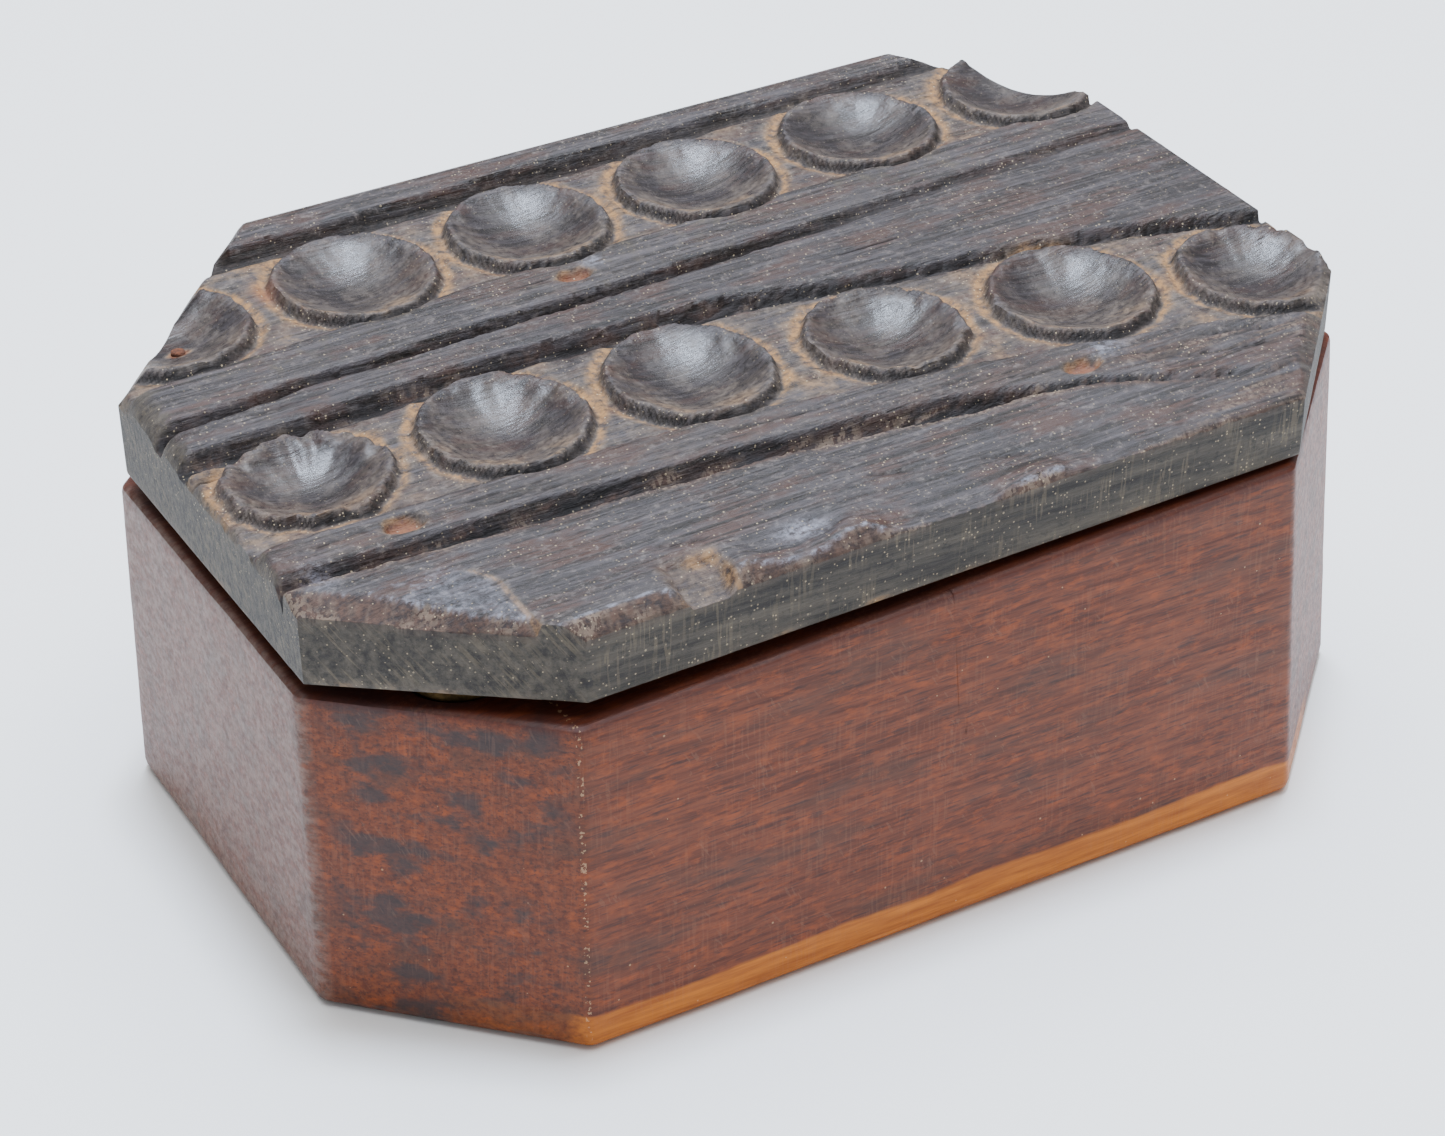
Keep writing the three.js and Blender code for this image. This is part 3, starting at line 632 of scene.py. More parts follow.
def carve(x, y):
    """Height over the sawn edge's plane, then the shares of wear, dirt, painted shade and painted highlight
    there.
    """
    swell = ripple(x, y, 7.3, 14)
    grain = noise.noise(Vector((x * 0.1, y * 2.0, 1.7)))
    fibre = noise.noise(Vector((x * 0.22, y * 4.2, 8.1)))
    fine = ripple(x, y, 4.1, 0.9)
    lumps = ripple(x, y, 9.5, 2.6)
    rough = ramp(20, 31, x) * (1 - ramp(-25.0, -21.5, y + 0.25 * (x - 30)))
    top = CARVED_TOP + 0.12 * swell + 0.06 * grain + 0.03 * fine
    ground = 0.35 + 0.12 * swell + 0.12 * lumps + 0.05 * fine

    panel, face = front_panel(x, y, swell, grain)
    torn_and_shade = ramp(0.0, 0.25, panel - face)
    chisel = ramp(0.1, 0.3, ripple(x, 0.3 * y, 2, 0.5))
    height = min(panel, face)
    # painted highlight: a bright line along the crest's edge
    brow = math.exp(-((panel - face - 0.05) / 0.16) ** 2) * ramp(0.55, 0.9, panel)
    dust, dirt_and_shade, rust, painted_highlight, dish = 0.1 + 0.35 * chisel * torn_and_shade, 0.0, 0.0, 0.0, 0.0
    notch = ramp(-28.2, -26.8, x) * (1 - ramp(-21.8, -21.0, x)) * (1 - ramp(-33.2, -31.4, y))
    dust = max(dust, notch * (0.45 + 0.45 * ramp(-0.1, 0.2, lumps)))
    torn_and_shade = max(torn_and_shade, 0.35 * notch)
    painted_highlight = 0.9 * brow * (1 - notch)

    # the split in front of the low ridge, with its ledge and its torn lip; its floor darkened with dirt and
    # painted shade
    lip = wavy(SPLIT_LIP, x, 3, 1.4)
    low_front = wavy(LOW_RIDGE_FRONT, x, 11, 1.2)
    across = (y - lip) / max(low_front - lip, 0.3)
    deep = mix(-1.7, 0.2, ramp(11, 18, x))
    ledge = mix(-0.5, 0.5, ramp(11, 18, x)) + 0.3 * grain
    split = mix(deep, ledge, ramp(0.15, 0.45, across))
    split = mix(split, 1.1, ramp(0.6, 1.05, across))
    share = step(lip, y, 0.45)
    ending = 1 - ramp(27, 30, x)
    torn_and_shade = max(torn_and_shade, ending * 0.95 * math.exp(-((y - lip + 0.45) / 0.45) ** 2))
    height = mix(height, split, share * ending)
    dirt_and_shade = max(dirt_and_shade, share * ending * (1 - step(low_front, y, 0.5)) * (1 - 0.3 * ramp(0.5, 0.9, across)))
    splinter = ramp(-0.25, 0.2, fibre) * ramp(0.2, 0.4, across) * (1 - ramp(0.8, 1.0, across))
    torn_and_shade = max(torn_and_shade, share * ending * splinter)
    dirt_and_shade *= 1 - 0.75 * splinter * share
    dust = mix(dust, 0.0, share)

    # the low ridge, splintered towards the right
    share = step(low_front, y, 0.45)
    ridge = top - 0.35 * rough + 0.05 * fibre
    height = mix(height, ridge, share)
    dust = mix(dust, 0.08, share)
    dirt_and_shade = mix(dirt_and_shade, 0, share)
    torn_and_shade = mix(torn_and_shade, 0.1, share)
    low_back = wavy(LOW_RIDGE_BACK, x, 17)
    share = step(low_back, y, 0.7)
    height = mix(height, ground, share)
    dust = mix(dust, 0.42 + 0.55 * lumps, share)

    # the groove in front of the plank, darkened with dirt and painted shade
    plank_front = wavy(PLANK_FRONT, x, 23, 1.3)
    width = mix(1.7, 0.8, ramp(-5, 12, x))
    depth = mix(-0.75, -0.15, ramp(-8, 14, x)) + 0.12 * fibre
    share = step(plank_front - width, y, 0.5)
    height = mix(height, depth, share)
    splinter = ramp(0.0, 0.4, fibre) * (1 - 0.5 * ramp(-5, 10, x))
    dirt_and_shade = mix(dirt_and_shade, 0.95 - 0.7 * splinter, share)
    torn_and_shade = mix(torn_and_shade, 0.1 + 0.9 * splinter, share)
    dust = mix(dust, 0.0, share)
    second = math.exp(-((y - plank_front + 3.0) / 0.35) ** 2) * (1 - ramp(-42, -37, x))
    height -= 0.9 * second
    dirt_and_shade = max(dirt_and_shade, 0.8 * second)
    share = step(plank_front, y, 0.4)
    height = mix(height, top - 0.2 + 0.03 * fibre, share)
    dirt_and_shade, torn_and_shade, dust = mix(dirt_and_shade, 0.12, share), mix(torn_and_shade, 0.06, share), mix(dust, 0.06, share)

    # the groove between the plank and the rear ridge fades to the right; it is darkened with dirt and
    # painted shade
    plank_back = wavy(PLANK_BACK, x, 29)
    depth = mix(-0.9, 0.45, ramp(-12, 32, x)) + 0.1 * fibre
    share = step(plank_back, y, mix(0.45, 1.1, ramp(-5, 20, x)))
    height = mix(height, depth, share)
    dirt_and_shade, torn_and_shade = mix(dirt_and_shade, mix(0.95, 0.6, ramp(5, 30, x)), share), mix(torn_and_shade, 0.35, share)
    dust = mix(dust, 0.0, share)
    share = step(wavy(REAR_RIDGE_FRONT, x, 31), y, mix(0.4, 0.7, ramp(-5, 20, x)))
    height = mix(height, top, share)
    dirt_and_shade, torn_and_shade, dust = mix(dirt_and_shade, 0, share), mix(torn_and_shade, 0.05, share), mix(dust, 0.06, share)
    share = step(wavy(REAR_RIDGE_BACK, x, 37), y, 0.7)
    height = mix(height, ground, share)
    dust = mix(dust, 0.42 + 0.55 * lumps, share)

    # the back groove, darkened with dirt and painted shade, and the back ridge
    back_wall = wavy(BACK_WALL, x, 41, 0.6)
    share = step(back_wall - along(BACK_GROOVE_WIDTH, x), y, 0.6)
    height = mix(height, mix(-0.8, -0.2, ramp(0, 22, x)), share)
    dirt_and_shade, dust = mix(dirt_and_shade, 0.8, share), mix(dust, 0.15, share)
    share = step(back_wall, y, 0.4)
    height = mix(height, top - 0.2, share)
    dirt_and_shade, dust = mix(dirt_and_shade, 0, share), mix(dust, 0.08, share)

    # hollowed discs, each in its own moat, with dirt and painted shade in a crescent on the front side of
    # the wall
    for centre_x, centre_y, radius_x, radius_y, wear in DISCS:
        dx, dy = (x - centre_x) / radius_x, (y - centre_y) / radius_y
        radius = math.hypot(dx, dy) * 7.9
        if radius > 10:
            continue
        turn = math.atan2(dy, dx)
        facing = max(0.0, -math.sin(turn + 0.2))
        edge = 7.7 + (wear + 0.15) * (
            0.5 * noise.noise(Vector((math.cos(turn) * 1.6, math.sin(turn) * 1.6, centre_x)))
            + 0.5 * noise.noise(Vector((math.cos(turn) * 5, math.sin(turn) * 5, centre_x)))
        ) + 0.12 * ripple(x, y, centre_x, 0.8)
        moat = 1 - ramp(edge + 0.6, edge + 1.5, radius)
        height = mix(height, min(height, 0.1 + 0.08 * fine), moat)
        dust = mix(dust, 1.1 + 0.3 * fine, (1 - ramp(edge + 0.7, edge + 2.1, radius)) * (1 - 0.35 * facing))
        dirt_and_shade = mix(dirt_and_shade, 0.75 * facing * (1 - ramp(edge + 0.5, edge + 1.0, radius)), moat)
        torn_and_shade = mix(torn_and_shade, 0.05, moat)
        inside = 1 - ramp(edge - 0.1, edge + 0.3, radius)
        bowl = 1.5 - 2.75 * (1 - min(radius / (edge - 0.15), 1.0) ** 2)
        bowl = min(bowl, 1.3 + 0.05 * fine)
        bowl += 0.1 * swell + wear * 0.12 * lumps + 0.015 * fine
        bowl -= (0.05 + 0.45 * wear) * ramp(0.1, 0.4, ripple(x, y, 6.6, 1.6)) * ramp(5.8, 7.2, radius)
        height = mix(height, bowl, inside)
        near_side = ramp(1.0, 6.0, radius) * ramp(-0.3, 0.9, -math.sin(turn + 0.35))
        dust = mix(dust, 0.02 + 0.5 * near_side + 0.2 * ramp(-0.1, 0.3, lumps), inside)
        wall = ramp(edge - 0.3, edge + 0.05, radius) * (1 - ramp(edge + 0.35, edge + 0.8, radius))
        dirt_and_shade = mix(dirt_and_shade, 0.0, inside)
        dirt_and_shade = max(dirt_and_shade, (0.4 + 0.6 * facing) * wall)
        dust *= 1 - (0.35 + 0.65 * facing) * wall
        torn_and_shade = mix(torn_and_shade, 0.35 * wear * ramp(5.5, 7.2, radius), inside)
        dish = max(dish, inside * (1 - ramp(6.3, 7.4, radius)))

    # splintered grain at the right front, with dirt and painted shade between the splinters
    height += rough * (0.16 * grain + 0.2 * fibre - 0.08)
    torn_and_shade = max(torn_and_shade, rough * ramp(-0.1, 0.5, grain) * 0.8)
    dirt_and_shade = max(dirt_and_shade, rough * ramp(0.1, 0.5, -fibre) * 0.7)
    # cracks along the grain, cut in and darkened with dirt and painted shade
    for x0, y0, x1, y1 in CRACKS:
        if x0 - 1 < x < x1 + 1 and min(y0, y1) - 1 < y < max(y0, y1) + 1:
            share = (x - x0) / (x1 - x0)
            taper = ramp(-0.05, 0.2, share) * (1 - ramp(0.8, 1.05, share))
            off = y - mix(y0, y1, share) - 0.15 * ripple(x, 0, y0, 1.2)
            cut = taper * math.exp(-(off / 0.17) ** 2)
            height -= 0.45 * cut
            dirt_and_shade = max(dirt_and_shade, cut)

    # broken and worn sides
    in_corner = (x - LID_LEFT) * 0.612 + (y + 22.95) * 0.791
    if in_corner < 9 and x < -38 and y < -21:
        step_line = mix(-41.8, -39.3, ramp(-23, -28.5, y)) + 0.3 * ripple(0, y, 3, 1.4)
        fallen = 1 - ramp(step_line - 0.25, step_line + 0.35, x)
        flat = 1.2 + 0.02 * (y + 23) + 0.05 * fine
        chisel = ripple(0.791 * x - 0.612 * y, 0.3 * in_corner, 5.5, 0.5)
        slope = in_corner * mix(0.5, 0.95, ramp(-48.5, -42.5, x)) + 0.14 * chisel
        if x < -43.2 + 0.3 * ripple(0, y, 8, 2) and y < -28:
            slope -= 0.22
        cut = min(flat, slope)
        # painted shade: the chiselled facets take the dark torn colour for the shade of a steep face, with
        # a painted highlight along their upper edge and a faint one on the flat above
        if cut < height and fallen > 0:
            chiselled = ramp(0.0, 0.15, flat - slope)
            painted_highlight = max(painted_highlight, 0.8 * fallen * math.exp(-((flat - slope + 0.05) / 0.14) ** 2))
            torn_and_shade = mix(torn_and_shade, chiselled, fallen)
            dust = mix(dust, 0.05 + 0.35 * chiselled * ramp(0.1, 0.3, chisel), fallen)
            painted_highlight = max(painted_highlight, fallen * (1 - ramp(-0.05, 0.2, flat - slope)) * 0.25)
            dirt_and_shade *= 1 - fallen
            height = mix(height, cut, fallen)
        dust = max(dust, 0.9 * math.exp(-((x - step_line) / 0.4) ** 2) * ramp(-24, -26, y))
    left_level = mix(0.0, -1.05, ramp(-22.95, 15.35, y))
    nose = min(max((x - LID_LEFT + 0.5 * ripple(x, y, 3, 3.1)) / 3.4, 0.0), 1.0)
    left = left_level + 2.7 * math.sqrt(1 - (1 - nose) ** 2) + 0.1 * ripple(x, y, 3, 1.2) - 0.15
    in_back_left = (x - LID_LEFT) * 0.718 - (y - 15.35) * 0.696
    back_left = mix(-1.05, 0.0, ramp(15.35, LID_BACK, y)) + in_back_left * 1.3 + 0.1 * lumps
    in_front_right = (LID_RIGHT - x) * 0.703 + (y + 20.95) * 0.711
    front_right = -0.2 + in_front_right * 0.9 + 0.2 * fibre
    in_back_right = (LID_RIGHT - x) * 0.828 + (20.65 - y) * 0.56
    back_right = -0.3 + in_back_right * 0.75 + 0.15 * lumps + 9 * (1 - ramp(30.0, 32.0, y))
    rear = 1.35 * math.sqrt(min(max((LID_BACK - y) / 1.8, 0.0), 1.0))
    end = 1.0 + (LID_RIGHT - x) * 1.6
    worn = 0.0
    for limit, worn_share in (
        (left, 0.9), (back_left, 0.5), (front_right, 0.6), (back_right, 0.5), (rear, 0.15),
        (end, 0.4),
    ):
        if limit < height:
            worn = max(worn, worn_share * ramp(0, 0.35, height - limit + 0.3 * fine))
            dirt_and_shade *= 0.5
            height = limit
    # painted highlights at the glint spots, and the nails' stained pits, darkened at their far rim with
    # dirt and painted shade
    for strength, spot_x, spot_y, half_x, half_y in HIGHLIGHT_SPOTS:
        fade = math.exp(-((x - spot_x) / half_x) ** 2 - ((y - spot_y) / half_y) ** 2)
        painted_highlight = max(painted_highlight, strength * fade)
    for nail_x, nail_y, nail_radius, _ in NAILS.values():
        reach = math.hypot((x - nail_x) / 1.7, y - nail_y) / nail_radius
        if reach < 4:
            height -= max(height - 0.2, 0.0) * (1 - ramp(0.7, 1.2, reach)) * 0.9
            rust = max(rust, 0.7 * (1 - ramp(0.6, 1.1, reach + 0.3 * fine)))
            dust = max(dust, 0.8 * (1 - ramp(1.0, 1.5, reach + 0.4 * fine)))
            behind = ramp(0, 1, y - nail_y)
            dirt_and_shade = max(dirt_and_shade, 0.7 * ramp(0.6, 0.9, reach) * (1 - ramp(1.1, 1.4, reach)) * behind)
    rust = max(rust, 0.55 * math.exp(-((x + 36.5) / 1.0) ** 2 - ((y - 24.5) / 1.8) ** 2))
    return height, dust, dirt_and_shade, torn_and_shade, rust, painted_highlight, worn, dish


slab = bmesh.new()
bmesh.ops.create_grid(slab, x_segments=int((LID_RIGHT - LID_LEFT) / LID_STEP),
                      y_segments=int((LID_BACK - LID_FRONT) / LID_STEP), size=0.5)
bmesh.ops.transform(slab, verts=slab.verts, matrix=(
    Matrix.Translation(((LID_LEFT + LID_RIGHT) / 2, (LID_FRONT + LID_BACK) / 2, 0))
    @ Matrix.Diagonal((LID_RIGHT - LID_LEFT, LID_BACK - LID_FRONT, 1, 1))
))
lid_corners = octagon(LID_LEFT, LID_RIGHT, LID_FRONT, LID_BACK, LID_CUTS)
for start, end in ((1, 2), (3, 4), (5, 6), (7, 0)):
    run = lid_corners[end] - lid_corners[start]
    bmesh.ops.bisect_plane(
        slab, geom=list(slab.verts) + list(slab.edges) + list(slab.faces), dist=1e-4,
        plane_co=lid_corners[start], plane_no=(run.y, -run.x, 0), clear_outer=True,
    )
bmesh.ops.remove_doubles(slab, verts=slab.verts, dist=0.02)
layers = [slab.verts.layers.float.new(name) for name in WEAR]
sawn = layers[WEAR.index("sawn")]
for corner in slab.verts:
    height, *shares = carve(corner.co.x, corner.co.y)
    corner.co.z = SAWN_FRONT + (corner.co.y - LID_FRONT) * TOP_SLOPE + height
    for layer, share in zip(layers, shares):
        corner[layer] = share
bmesh.ops.smooth_vert(
    slab, verts=[corner for corner in slab.verts if not corner.is_boundary], factor=0.5,
    use_axis_x=True, use_axis_y=True, use_axis_z=True,
)

# sawn sides, in rings down to the eased lower edge
ring = [edge for edge in slab.edges if edge.is_boundary]
side_rings = [
    (0.985, 0.0), (0.86, 0.0), (0.7, 0.0), (0.52, 0.0), (0.34, 0.0), (0.18, 0.0), (0.08, 0.0),
    (0.03, 0.05), (0.0, 0.28),
]
HALF_LENGTH, HALF_WIDTH = 54, 37   # of the lid, roughly, for drawing a ring in by its ease
top_of = {corner: corner.co.z for edge in ring for corner in edge.verts}
for share, ease in side_rings:
    flat_place = {(round(c.co.x, 4), round(c.co.y, 4)): top_of[c] for e in ring for c in e.verts}
    ring, corners = raise_ring(slab, ring)
    for corner in corners:
        height = flat_place[(round(corner.co.x, 4), round(corner.co.y, 4))]
        top_of[corner] = height
        corner.co.z = height * share
        corner.co.x *= 1 - ease / HALF_LENGTH
        corner.co.y *= 1 - ease / HALF_WIDTH
        for layer in layers:
            corner[layer] *= 0.35 if share > 0.95 else 0.0
        corner[sawn] = 1.0
        if 0.0 < share < 0.1:
            corner[layers[0]] = 0.35 + 0.9 * ripple(corner.co.x, corner.co.y, 6, 3.5)


def pocket(mesh, centre, radius, depth, segments=32):
    """A round hole let into the lid's underside: its mouth's edges."""
    mouth = bmesh.ops.create_circle(mesh, cap_ends=False, segments=segments, radius=radius)["verts"]
    for corner in mouth:
        corner.co += centre
    edges = list({edge for corner in mouth for edge in corner.link_edges})
    upper, corners = raise_ring(mesh, edges)
    for corner in corners:
        corner.co.z += depth
    bmesh.ops.triangle_fill(mesh, edges=upper, use_beauty=True)
    return edges


def slot_loop(mesh, middle, radius, half, start, end, depth):
    """The curved slot for the stop pin: an arc spun round the pivot, closed by round ends."""
    outline = []
    for count, centre_angle in enumerate((end, start)):
        end_turn = math.radians(centre_angle)
        centre = middle + Vector((math.cos(end_turn), math.sin(end_turn), 0)) * radius
        base = centre_angle if count == 0 else centre_angle + 180
        for part in range(9):
            angle = math.radians(base + part * 22.5)
            outline.append(centre + Vector((math.cos(angle), math.sin(angle), 0)) * half)
        if count == 0:
            for part in range(1, 24):
                angle = math.radians(mix(end, start, part / 24))
                outline.append(middle + Vector((math.cos(angle), math.sin(angle), 0)) * (radius - half))
        else:
            for part in range(1, 24):
                angle = math.radians(mix(start, end, part / 24))
                outline.append(middle + Vector((math.cos(angle), math.sin(angle), 0)) * (radius + half))
    corners = [mesh.verts.new(point) for point in outline]
    edges = [mesh.edges.new((a, b)) for a, b in zip(corners, corners[1:] + corners[:1])]
    upper, raised = raise_ring(mesh, edges)
    for corner in raised:
        corner.co.z += depth
    bmesh.ops.triangle_fill(mesh, edges=upper, use_beauty=True)
    return edges


mouths = pocket(slab, PIVOT, 3.3, 4.9) + pocket(slab, LOCK, 4.3, 4.9)
STOP_RADIUS = 9        # from the pivot
STOP_BEARING = 296     # degrees from +X with the lid closed
SWING = 118            # degrees
SLOT_HALF_WIDTH = 1.85
SLOT_DEPTH = 2.5
mouths += slot_loop(
    slab, PIVOT, STOP_RADIUS, SLOT_HALF_WIDTH, STOP_BEARING - SWING, STOP_BEARING, SLOT_DEPTH,
)
bmesh.ops.triangle_fill(slab, edges=ring + mouths, use_beauty=True)
lid = place(slab, "carved_lid", lid_frame, "lid", ["lid_slab"], sharp=50)

old_wood, tree, shader = new_material("weathered_carved_wood")
mm = in_millimetres(tree)
x_mm, y_mm, z_mm = put(tree, "SeparateXYZ", {0: mm}).outputs[:3]
masks = {
    name: put(tree, "Attribute", attribute_name=name).outputs["Fac"]
    for name in WEAR
}
long_grain = cloud(tree, mm, (0.07, 1.4, 0.8), detail=6.0, rough=0.7)
thin_grain = cloud(tree, mm, (0.14, 2.9, 1.5), detail=5.0, rough=0.65)
blotches = cloud(tree, mm, (0.11, 0.3, 0.3), detail=6.0, rough=0.65)
crumble = cloud(tree, mm, (1.1, 1.3, 1.3), detail=6.0, rough=0.75)
colour = tint(tree, spread(tree, long_grain, 0.38, 0.64), linear(26, 23, 25), linear(76, 71, 74))
colour = tint(tree, spread(tree, blotches, 0.48, 0.6, 0.0, 0.75), colour, linear(68, 43, 34))
colour = tint(tree, spread(tree, thin_grain, 0.51, 0.61, 0.0, 0.9), colour, linear(17, 14, 14))
colour = tint(tree, spread(tree, crumble, 0.55, 0.66, 0.0, 0.5), colour, linear(124, 116, 112))
splits = cloud(tree, mm, (0.05, 1.1, 0.5), detail=3.0, rough=0.5, shift=(40, 17, 9))
colour = tint(tree, spread(tree, splits, 0.60, 0.66, 0.0, 0.85), colour, linear(15, 12, 12))
# painted shade: the insides of the hollowed discs darkened
dish_shade = calc(tree, "MULTIPLY", masks["dish"], 0.55)
colour = tint(tree, dish_shade, colour, linear(38, 34, 35))
# sawn sides
across_saw = scratch_mask(tree, mm, (0, 0, 0), (2.6, 2.6, 0.2), 0.56)
slanted_saw = scratch_mask(tree, mm, (0.479, 0.523, 0), (2.4, 2.4, 0.14), 0.55)
on_chamfer = spread(tree, x_mm, -36.0, -37.0)
saw_marks = put(tree, "Mix", {0: on_chamfer, 2: across_saw, 3: slanted_saw}).outputs[0]
side = tint(tree, spread(tree, long_grain, 0.38, 0.62), linear(36, 32, 29), linear(82, 75, 65))
side = tint(tree, spread(tree, crumble, 0.53, 0.64, 0.0, 0.65), side, linear(26, 24, 24))
side = tint(tree, calc(tree, "MULTIPLY", saw_marks, 0.3), side, linear(128, 114, 90))
colour = tint(tree, masks["sawn"], colour, side)
# torn wood, which on the facets is also painted shade; dirt with painted shade; dust; rust; and painted
# highlights over it
torn_marks = scratch_mask(tree, mm, (0, 0, 0), (2.4, 2.4, 0.25), 0.5)
torn_and_shade_colour = tint(tree, spread(tree, crumble, 0.38, 0.62), linear(38, 28, 26), linear(84, 62, 52))
torn_and_shade_colour = tint(tree, calc(tree, "MULTIPLY", torn_marks, 0.6), torn_and_shade_colour, linear(138, 120, 102))
torn_and_shade_share = calc(tree, "MULTIPLY", masks["torn_and_shade"], spread(tree, crumble, 0.3, 0.55, 0.6, 1.0))
colour = tint(tree, torn_and_shade_share, colour, torn_and_shade_colour)
# dirt and painted shade: near black in the grooves, the split, cracks, nail pits and the discs' front walls
dirt_and_shade_share = calc(tree, "MULTIPLY", masks["dirt_and_shade"], spread(tree, thin_grain, 0.35, 0.6, 0.8, 1.0))
colour = tint(tree, dirt_and_shade_share, colour, linear(13, 9, 8))
dust_noise = spread(tree, crumble, 0.38, 0.58, 0.1, 1.0)
dust_share = calc(tree, "MULTIPLY", masks["dust"], dust_noise)
dust_share = calc(tree, "MINIMUM", calc(tree, "MAXIMUM", dust_share, 0.0), 1.0)
colour = tint(tree, calc(tree, "MULTIPLY", dust_share, 0.85), colour, tint(
    tree, spread(tree, masks["dust"], 0.5, 1.0), linear(120, 106, 92), linear(160, 120, 76),
))
# painted highlight: pale bluish glints on the crest, the facets and the spots
highlight_share = calc(tree, "MULTIPLY", masks["painted_highlight"], spread(tree, crumble, 0.42, 0.58, 0.0, 0.9))
colour = tint(tree, highlight_share, colour, linear(140, 142, 154))
colour = tint(tree, calc(tree, "MULTIPLY", masks["rust"], 0.9), colour, linear(122, 66, 38))
crumbs = calc(tree, "MAXIMUM", speck_mask(tree, mm, 0.31, 0.3, 0.34), speck_mask(tree, mm, 1.3, 0.1, 0.35))
in_drifts = calc(tree, "MULTIPLY", crumbs, spread(tree, blotches, 0.4, 0.58, 0.3, 0.75))
fewer_in_dishes = spread(tree, masks["dish"], 0.0, 1.0, 1.0, 0.25)
colour = tint(tree, calc(tree, "MULTIPLY", in_drifts, fewer_in_dishes), colour, linear(178, 160, 130))
roughness = spread(tree, long_grain, 0.35, 0.65, 0.32, 0.5)
roughness = put(tree, "Mix", {0: masks["dish"], 2: roughness, 3: 0.22}).outputs[0]
roughness = put(tree, "Mix", {0: dust_share, 2: roughness, 3: 0.85}).outputs[0]
dull_share = calc(tree, "MAXIMUM", dirt_and_shade_share, torn_and_shade_share)
roughness = put(tree, "Mix", {0: dull_share, 2: roughness, 3: 0.8}).outputs[0]
roughness = put(tree, "Mix", {0: masks["sawn"], 2: roughness, 3: 0.6}).outputs[0]
height = calc(tree, "ADD", calc(tree, "MULTIPLY", thin_grain, -0.6), calc(tree, "MULTIPLY", crumble, 0.5))
height = calc(tree, "MULTIPLY", height, spread(tree, masks["dish"], 0.0, 1.0, 1.0, 0.3))
shader.inputs["Specular IOR Level"].default_value = 0.36
finish_material(tree, shader, colour, roughness, height, 0.7, 0.0004)
lid.data.materials.append(old_wood)

# ---------------------------------------------------------------------------------------------
# Old nail ends: what is left of the iron nails that held the carved board, rusted to stubs.

rust, tree, shader = new_material("rusted_iron")
mm = in_millimetres(tree)
scale = cloud(tree, mm, (2.2, 2.2, 2.2), detail=6.0, rough=0.7)
colour = tint(tree, spread(tree, scale, 0.35, 0.65), linear(56, 31, 21), linear(120, 68, 40))
finish_material(tree, shader, colour, spread(tree, scale, 0.3, 0.7, 0.75, 0.95), scale, 0.8, 0.0004)

for name, (nail_x, nail_y, nail_radius, nail_height) in NAILS.items():
    stub = bmesh.new()
    bmesh.ops.create_cone(
        stub, cap_ends=True, segments=20, radius1=nail_radius * 0.8, radius2=nail_radius, depth=4.0,
    )
    bmesh.ops.bevel(
        stub, geom=[e for e in stub.edges if all(c.co.z > 1.9 for c in e.verts)],
        offset=0.3, affect="EDGES", segments=3, profile=0.5, material=-1,
    )
    bmesh.ops.triangulate(stub, faces=stub.faces)
    bmesh.ops.subdivide_edges(stub, edges=stub.edges, cuts=1)
    floor_height = SAWN_FRONT + (nail_y - LID_FRONT) * TOP_SLOPE + nail_height
    for corner in stub.verts:
        swell = ripple(corner.co.x + nail_x, corner.co.y, corner.co.z, 0.8)
        corner.co += Vector((corner.co.x, corner.co.y, 0.35)) * 0.22 * swell
        corner.co += Vector((nail_x, nail_y, floor_height - 2.0))
    nail = place(stub, name + "_stub", lid_frame, "lid", [name])
    nail.data.materials.append(rust)

# ---------------------------------------------------------------------------------------------
# Hidden metal: the steel pivot pin in its brass bush, held by a steel nail through the back
# right facet; the stop pin; and the loose lock pin with its brass collar and strike bush.


def turned_section(name, section, centre, body, replaced, segments=64, lay=None):
    """A piece turned on a lathe from its half section, [radius, height], in the lid's frame."""
    mesh = bmesh.new()
    corners = [mesh.verts.new((radius, 0, height)) for radius, height in section]
    profile = [mesh.edges.new(pair) for pair in zip(corners, corners[1:])]
    bmesh.ops.spin(
        mesh, geom=corners + profile, cent=(0, 0, 0), axis=(0, 0, 1), angle=2 * math.pi,
        steps=segments, use_merge=True,
    )
    bmesh.ops.remove_doubles(mesh, verts=mesh.verts, dist=0.001)
    matrix = lid_frame @ Matrix.Translation(centre) @ (lay or Matrix.Identity(4))
    return place(mesh, name, matrix, body, [replaced])


def bush_section(inner, outer, flange, flange_thick, length):
    return [
        (inner, -0.55), (inner, -0.35 - length + 0.2), (inner + 0.2, -0.35 - length),
        (outer - 0.25, -0.35 - length), (outer, -0.1 - length), (outer, -0.35 - flange_thick),
        (flange - 0.15, -0.35 - flange_thick), (flange, -0.2 - flange_thick), (flange, -0.6),
        (flange - 0.08, -0.42), (flange - 0.25, -0.35), (inner + 0.2, -0.35), (inner, -0.55),
    ]


def metal(name, bright, dull, rough_low, rough_high):
    material, tree, shader = new_material(name)
    mm = in_millimetres(tree)
    tool_marks = cloud(tree, mm, (1.2, 1.2, 9.0), detail=3.0)
    tarnish = cloud(tree, mm, (0.5, 0.5, 0.5), detail=6.0, rough=0.65)
    colour = tint(tree, spread(tree, tarnish, 0.4, 0.68), bright, dull)
    shader.inputs["Metallic"].default_value = 1.0
    finish_material(
        tree, shader, colour, spread(tree, tarnish, 0.35, 0.65, rough_low, rough_high),
        tool_marks, 0.25, 0.0001,
    )
    return material


# partly old brass, partly painted shade: darkened so the strike flange seen in the lid's gap reads as shade
brass = metal("brass_darkened_for_shade", linear(96, 75, 46), linear(34, 27, 20), 0.5, 0.8)
steel = metal("old_steel", linear(176, 174, 170), linear(104, 96, 90), 0.28, 0.55)

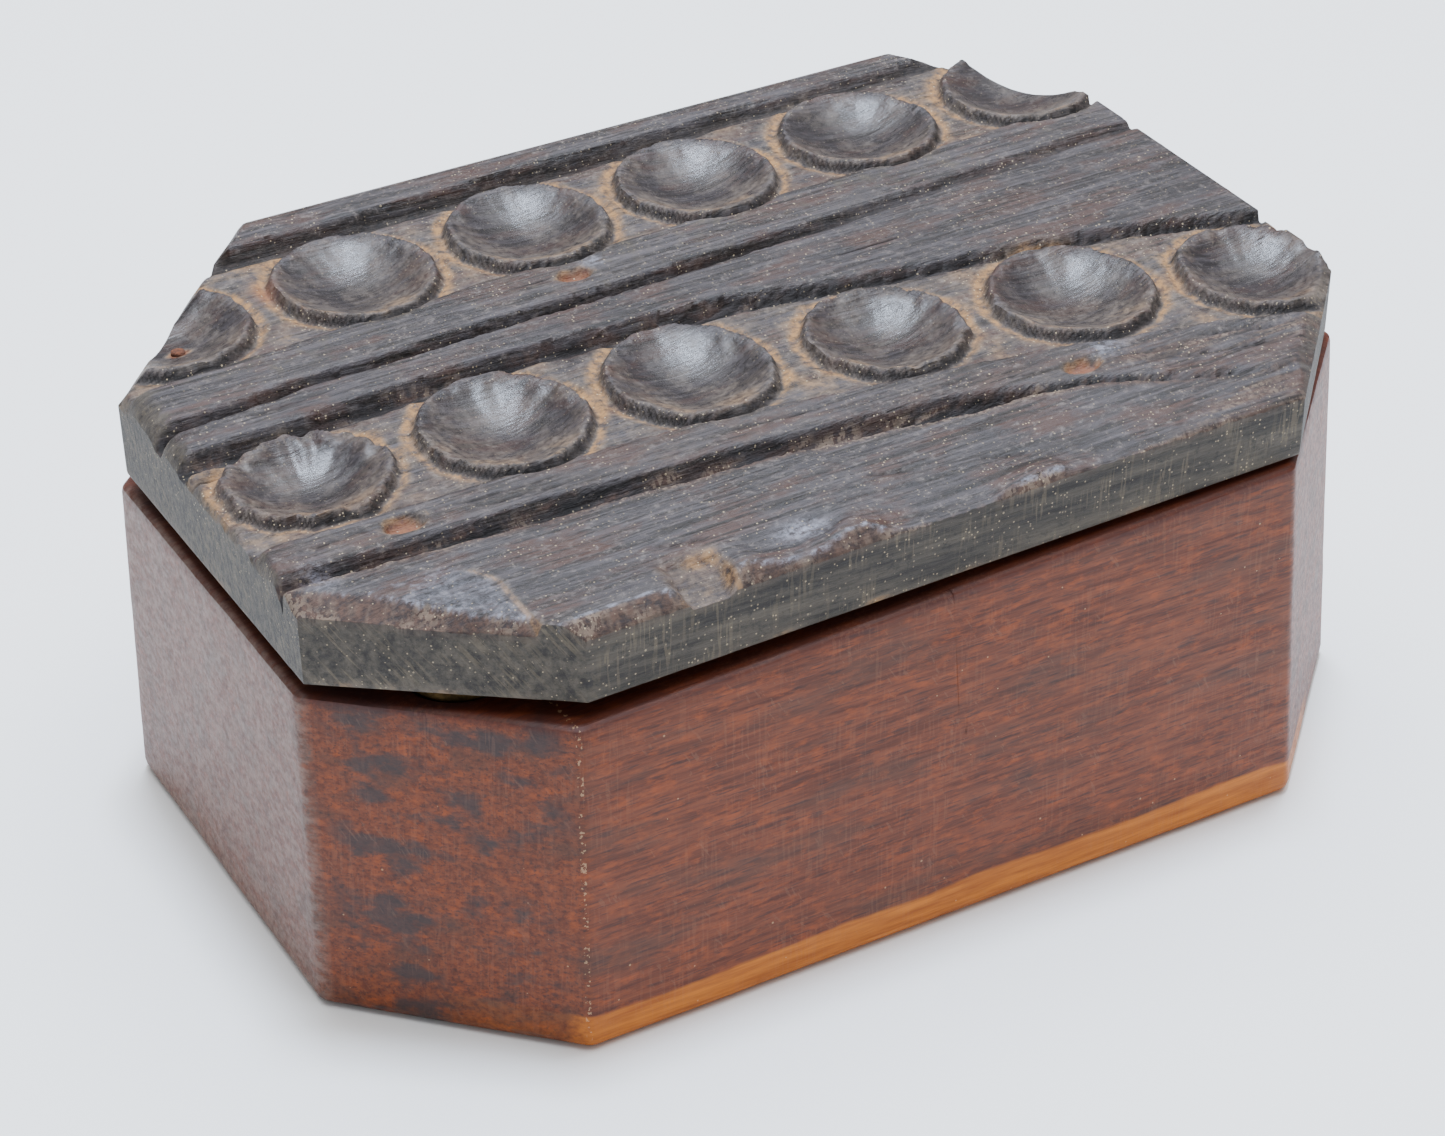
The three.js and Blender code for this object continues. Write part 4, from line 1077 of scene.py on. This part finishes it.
pivot_pin = turned_section("swivel_pin", [
    (0, -19), (2.3, -19), (2.75, -18.8), (3, -18.4), (3, -16.9), (2.9, -16.8), (2.0, -16.8),
    (2.0, -14.2), (2.9, -14.2), (3, -14.1), (3, 4.3), (2.8, 4.55), (2.5, 4.6), (0, 4.6),
], PIVOT, "lid", "pivot_pin")
stop_pin = turned_section("swing_stop_pin", [
    (0, -9), (1.35, -9), (1.5, -8.8), (1.5, 1.75), (1.4, 2.0), (1.1, 2.2), (0, 2.2),
], STOP, "box", "stop_pin")
lock_pin = turned_section("loose_lock_pin", [
    (0, 0.15), (1.1, 0.15), (1.5, 0.35), (1.7, 0.7), (1.7, 3.65), (1.75, 3.7), (2.5, 3.7),
    (2.6, 3.8), (2.6, 4.45), (2.5, 4.65), (2.3, 4.7), (0, 4.7),
], LOCK, "lock_pin", "lock_pin")
pivot_bush = turned_section(
    "pivot_bush_brass", bush_section(3.35, 4.75, 6.0, 1.0, 11.0), PIVOT, "box", "pivot_bush")
strike_bush = turned_section(
    "strike_bush_brass", bush_section(2.05, 3.45, 4.8, 1.4, 7.0), LOCK, "box", "strike_bush")
lock_collar = turned_section("lock_collar_brass", [
    (2.05, 0.25), (2.2, 0.1), (3.85, 0.1), (4.0, 0.25), (4.0, 0.85), (3.85, 1.0), (2.2, 1.0),
    (2.05, 0.85), (2.05, 0.25),
], LOCK, "lid", "lock_collar")
NAIL_TIP_REACH = 2.3           # from the swivel's axis to the retaining nail's tip
inward = Vector((-BODY_CUTS["back_right"][1], -BODY_CUTS["back_right"][0], 0)).normalized()
nail_low, nail_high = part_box("retaining_nail")
nail_middle = lid_frame.inverted() @ ((nail_low + nail_high) / 2)
nail_turn = Vector((0, 0, 1)).rotation_difference(inward).to_matrix().to_4x4()
half_nail = 3.05
nail_middle = Vector((PIVOT.x, PIVOT.y, nail_middle.z)) - inward * (NAIL_TIP_REACH + half_nail)
retaining_nail = turned_section("retaining_nail_steel", [
    (0, -half_nail), (1.2, -half_nail), (1.65, -half_nail + 0.15), (1.8, -half_nail + 0.4),
    (1.8, -half_nail + 0.7), (1.7, -half_nail + 0.8), (0.95, -half_nail + 0.85),
    (0.95, half_nail - 0.9), (0.45, half_nail), (0, half_nail),
], nail_middle, "box", "retaining_nail", segments=40, lay=nail_turn)
for piece in (pivot_pin, stop_pin, lock_pin, retaining_nail):
    piece.data.materials.append(steel)
for piece in (pivot_bush, strike_bush, lock_collar):
    piece.data.materials.append(brass)

# ---------------------------------------------------------------------------------------------
# Floor and light: a plain pale surface under a wide soft overhead light.

floor_mesh = bpy.data.meshes.new("floor")
plane = bmesh.new()
bmesh.ops.create_grid(plane, x_segments=1, y_segments=1, size=1.5)
plane.to_mesh(floor_mesh)
plane.free()
floor = bpy.data.objects.new("floor", floor_mesh)
bpy.context.scene.collection.objects.link(floor)
pale, tree, shader = new_material("pale_floor")
shader.inputs["Base Color"].default_value = linear(246, 246, 244)
shader.inputs["Roughness"].default_value = 0.75
floor_mesh.materials.append(pale)

LAMPS = {
    "sky": ((0.08, 0.12, 0.85), 0.9, 12, (0.97, 0.98, 1.0)),
    "window": ((0.03, 0.08, 0.94), 0.16, 15, (0.7, 0.81, 1.0)),
}
for name, (place_at, size, energy, tone) in LAMPS.items():
    light = bpy.data.lights.new(name, "AREA")
    light.size = size
    light.energy = energy
    light.color = tone
    lamp = bpy.data.objects.new(name, light)
    lamp.location = place_at
    lamp.rotation_euler = Vector(place_at).to_track_quat("Z", "Y").to_euler()
    bpy.context.scene.collection.objects.link(lamp)
world = bpy.data.worlds.new("studio")
world.use_nodes = True
world.node_tree.nodes["Background"].inputs["Color"].default_value = (0.92, 0.95, 1.0, 1)
world.node_tree.nodes["Background"].inputs["Strength"].default_value = 0.48
bpy.context.scene.world = world
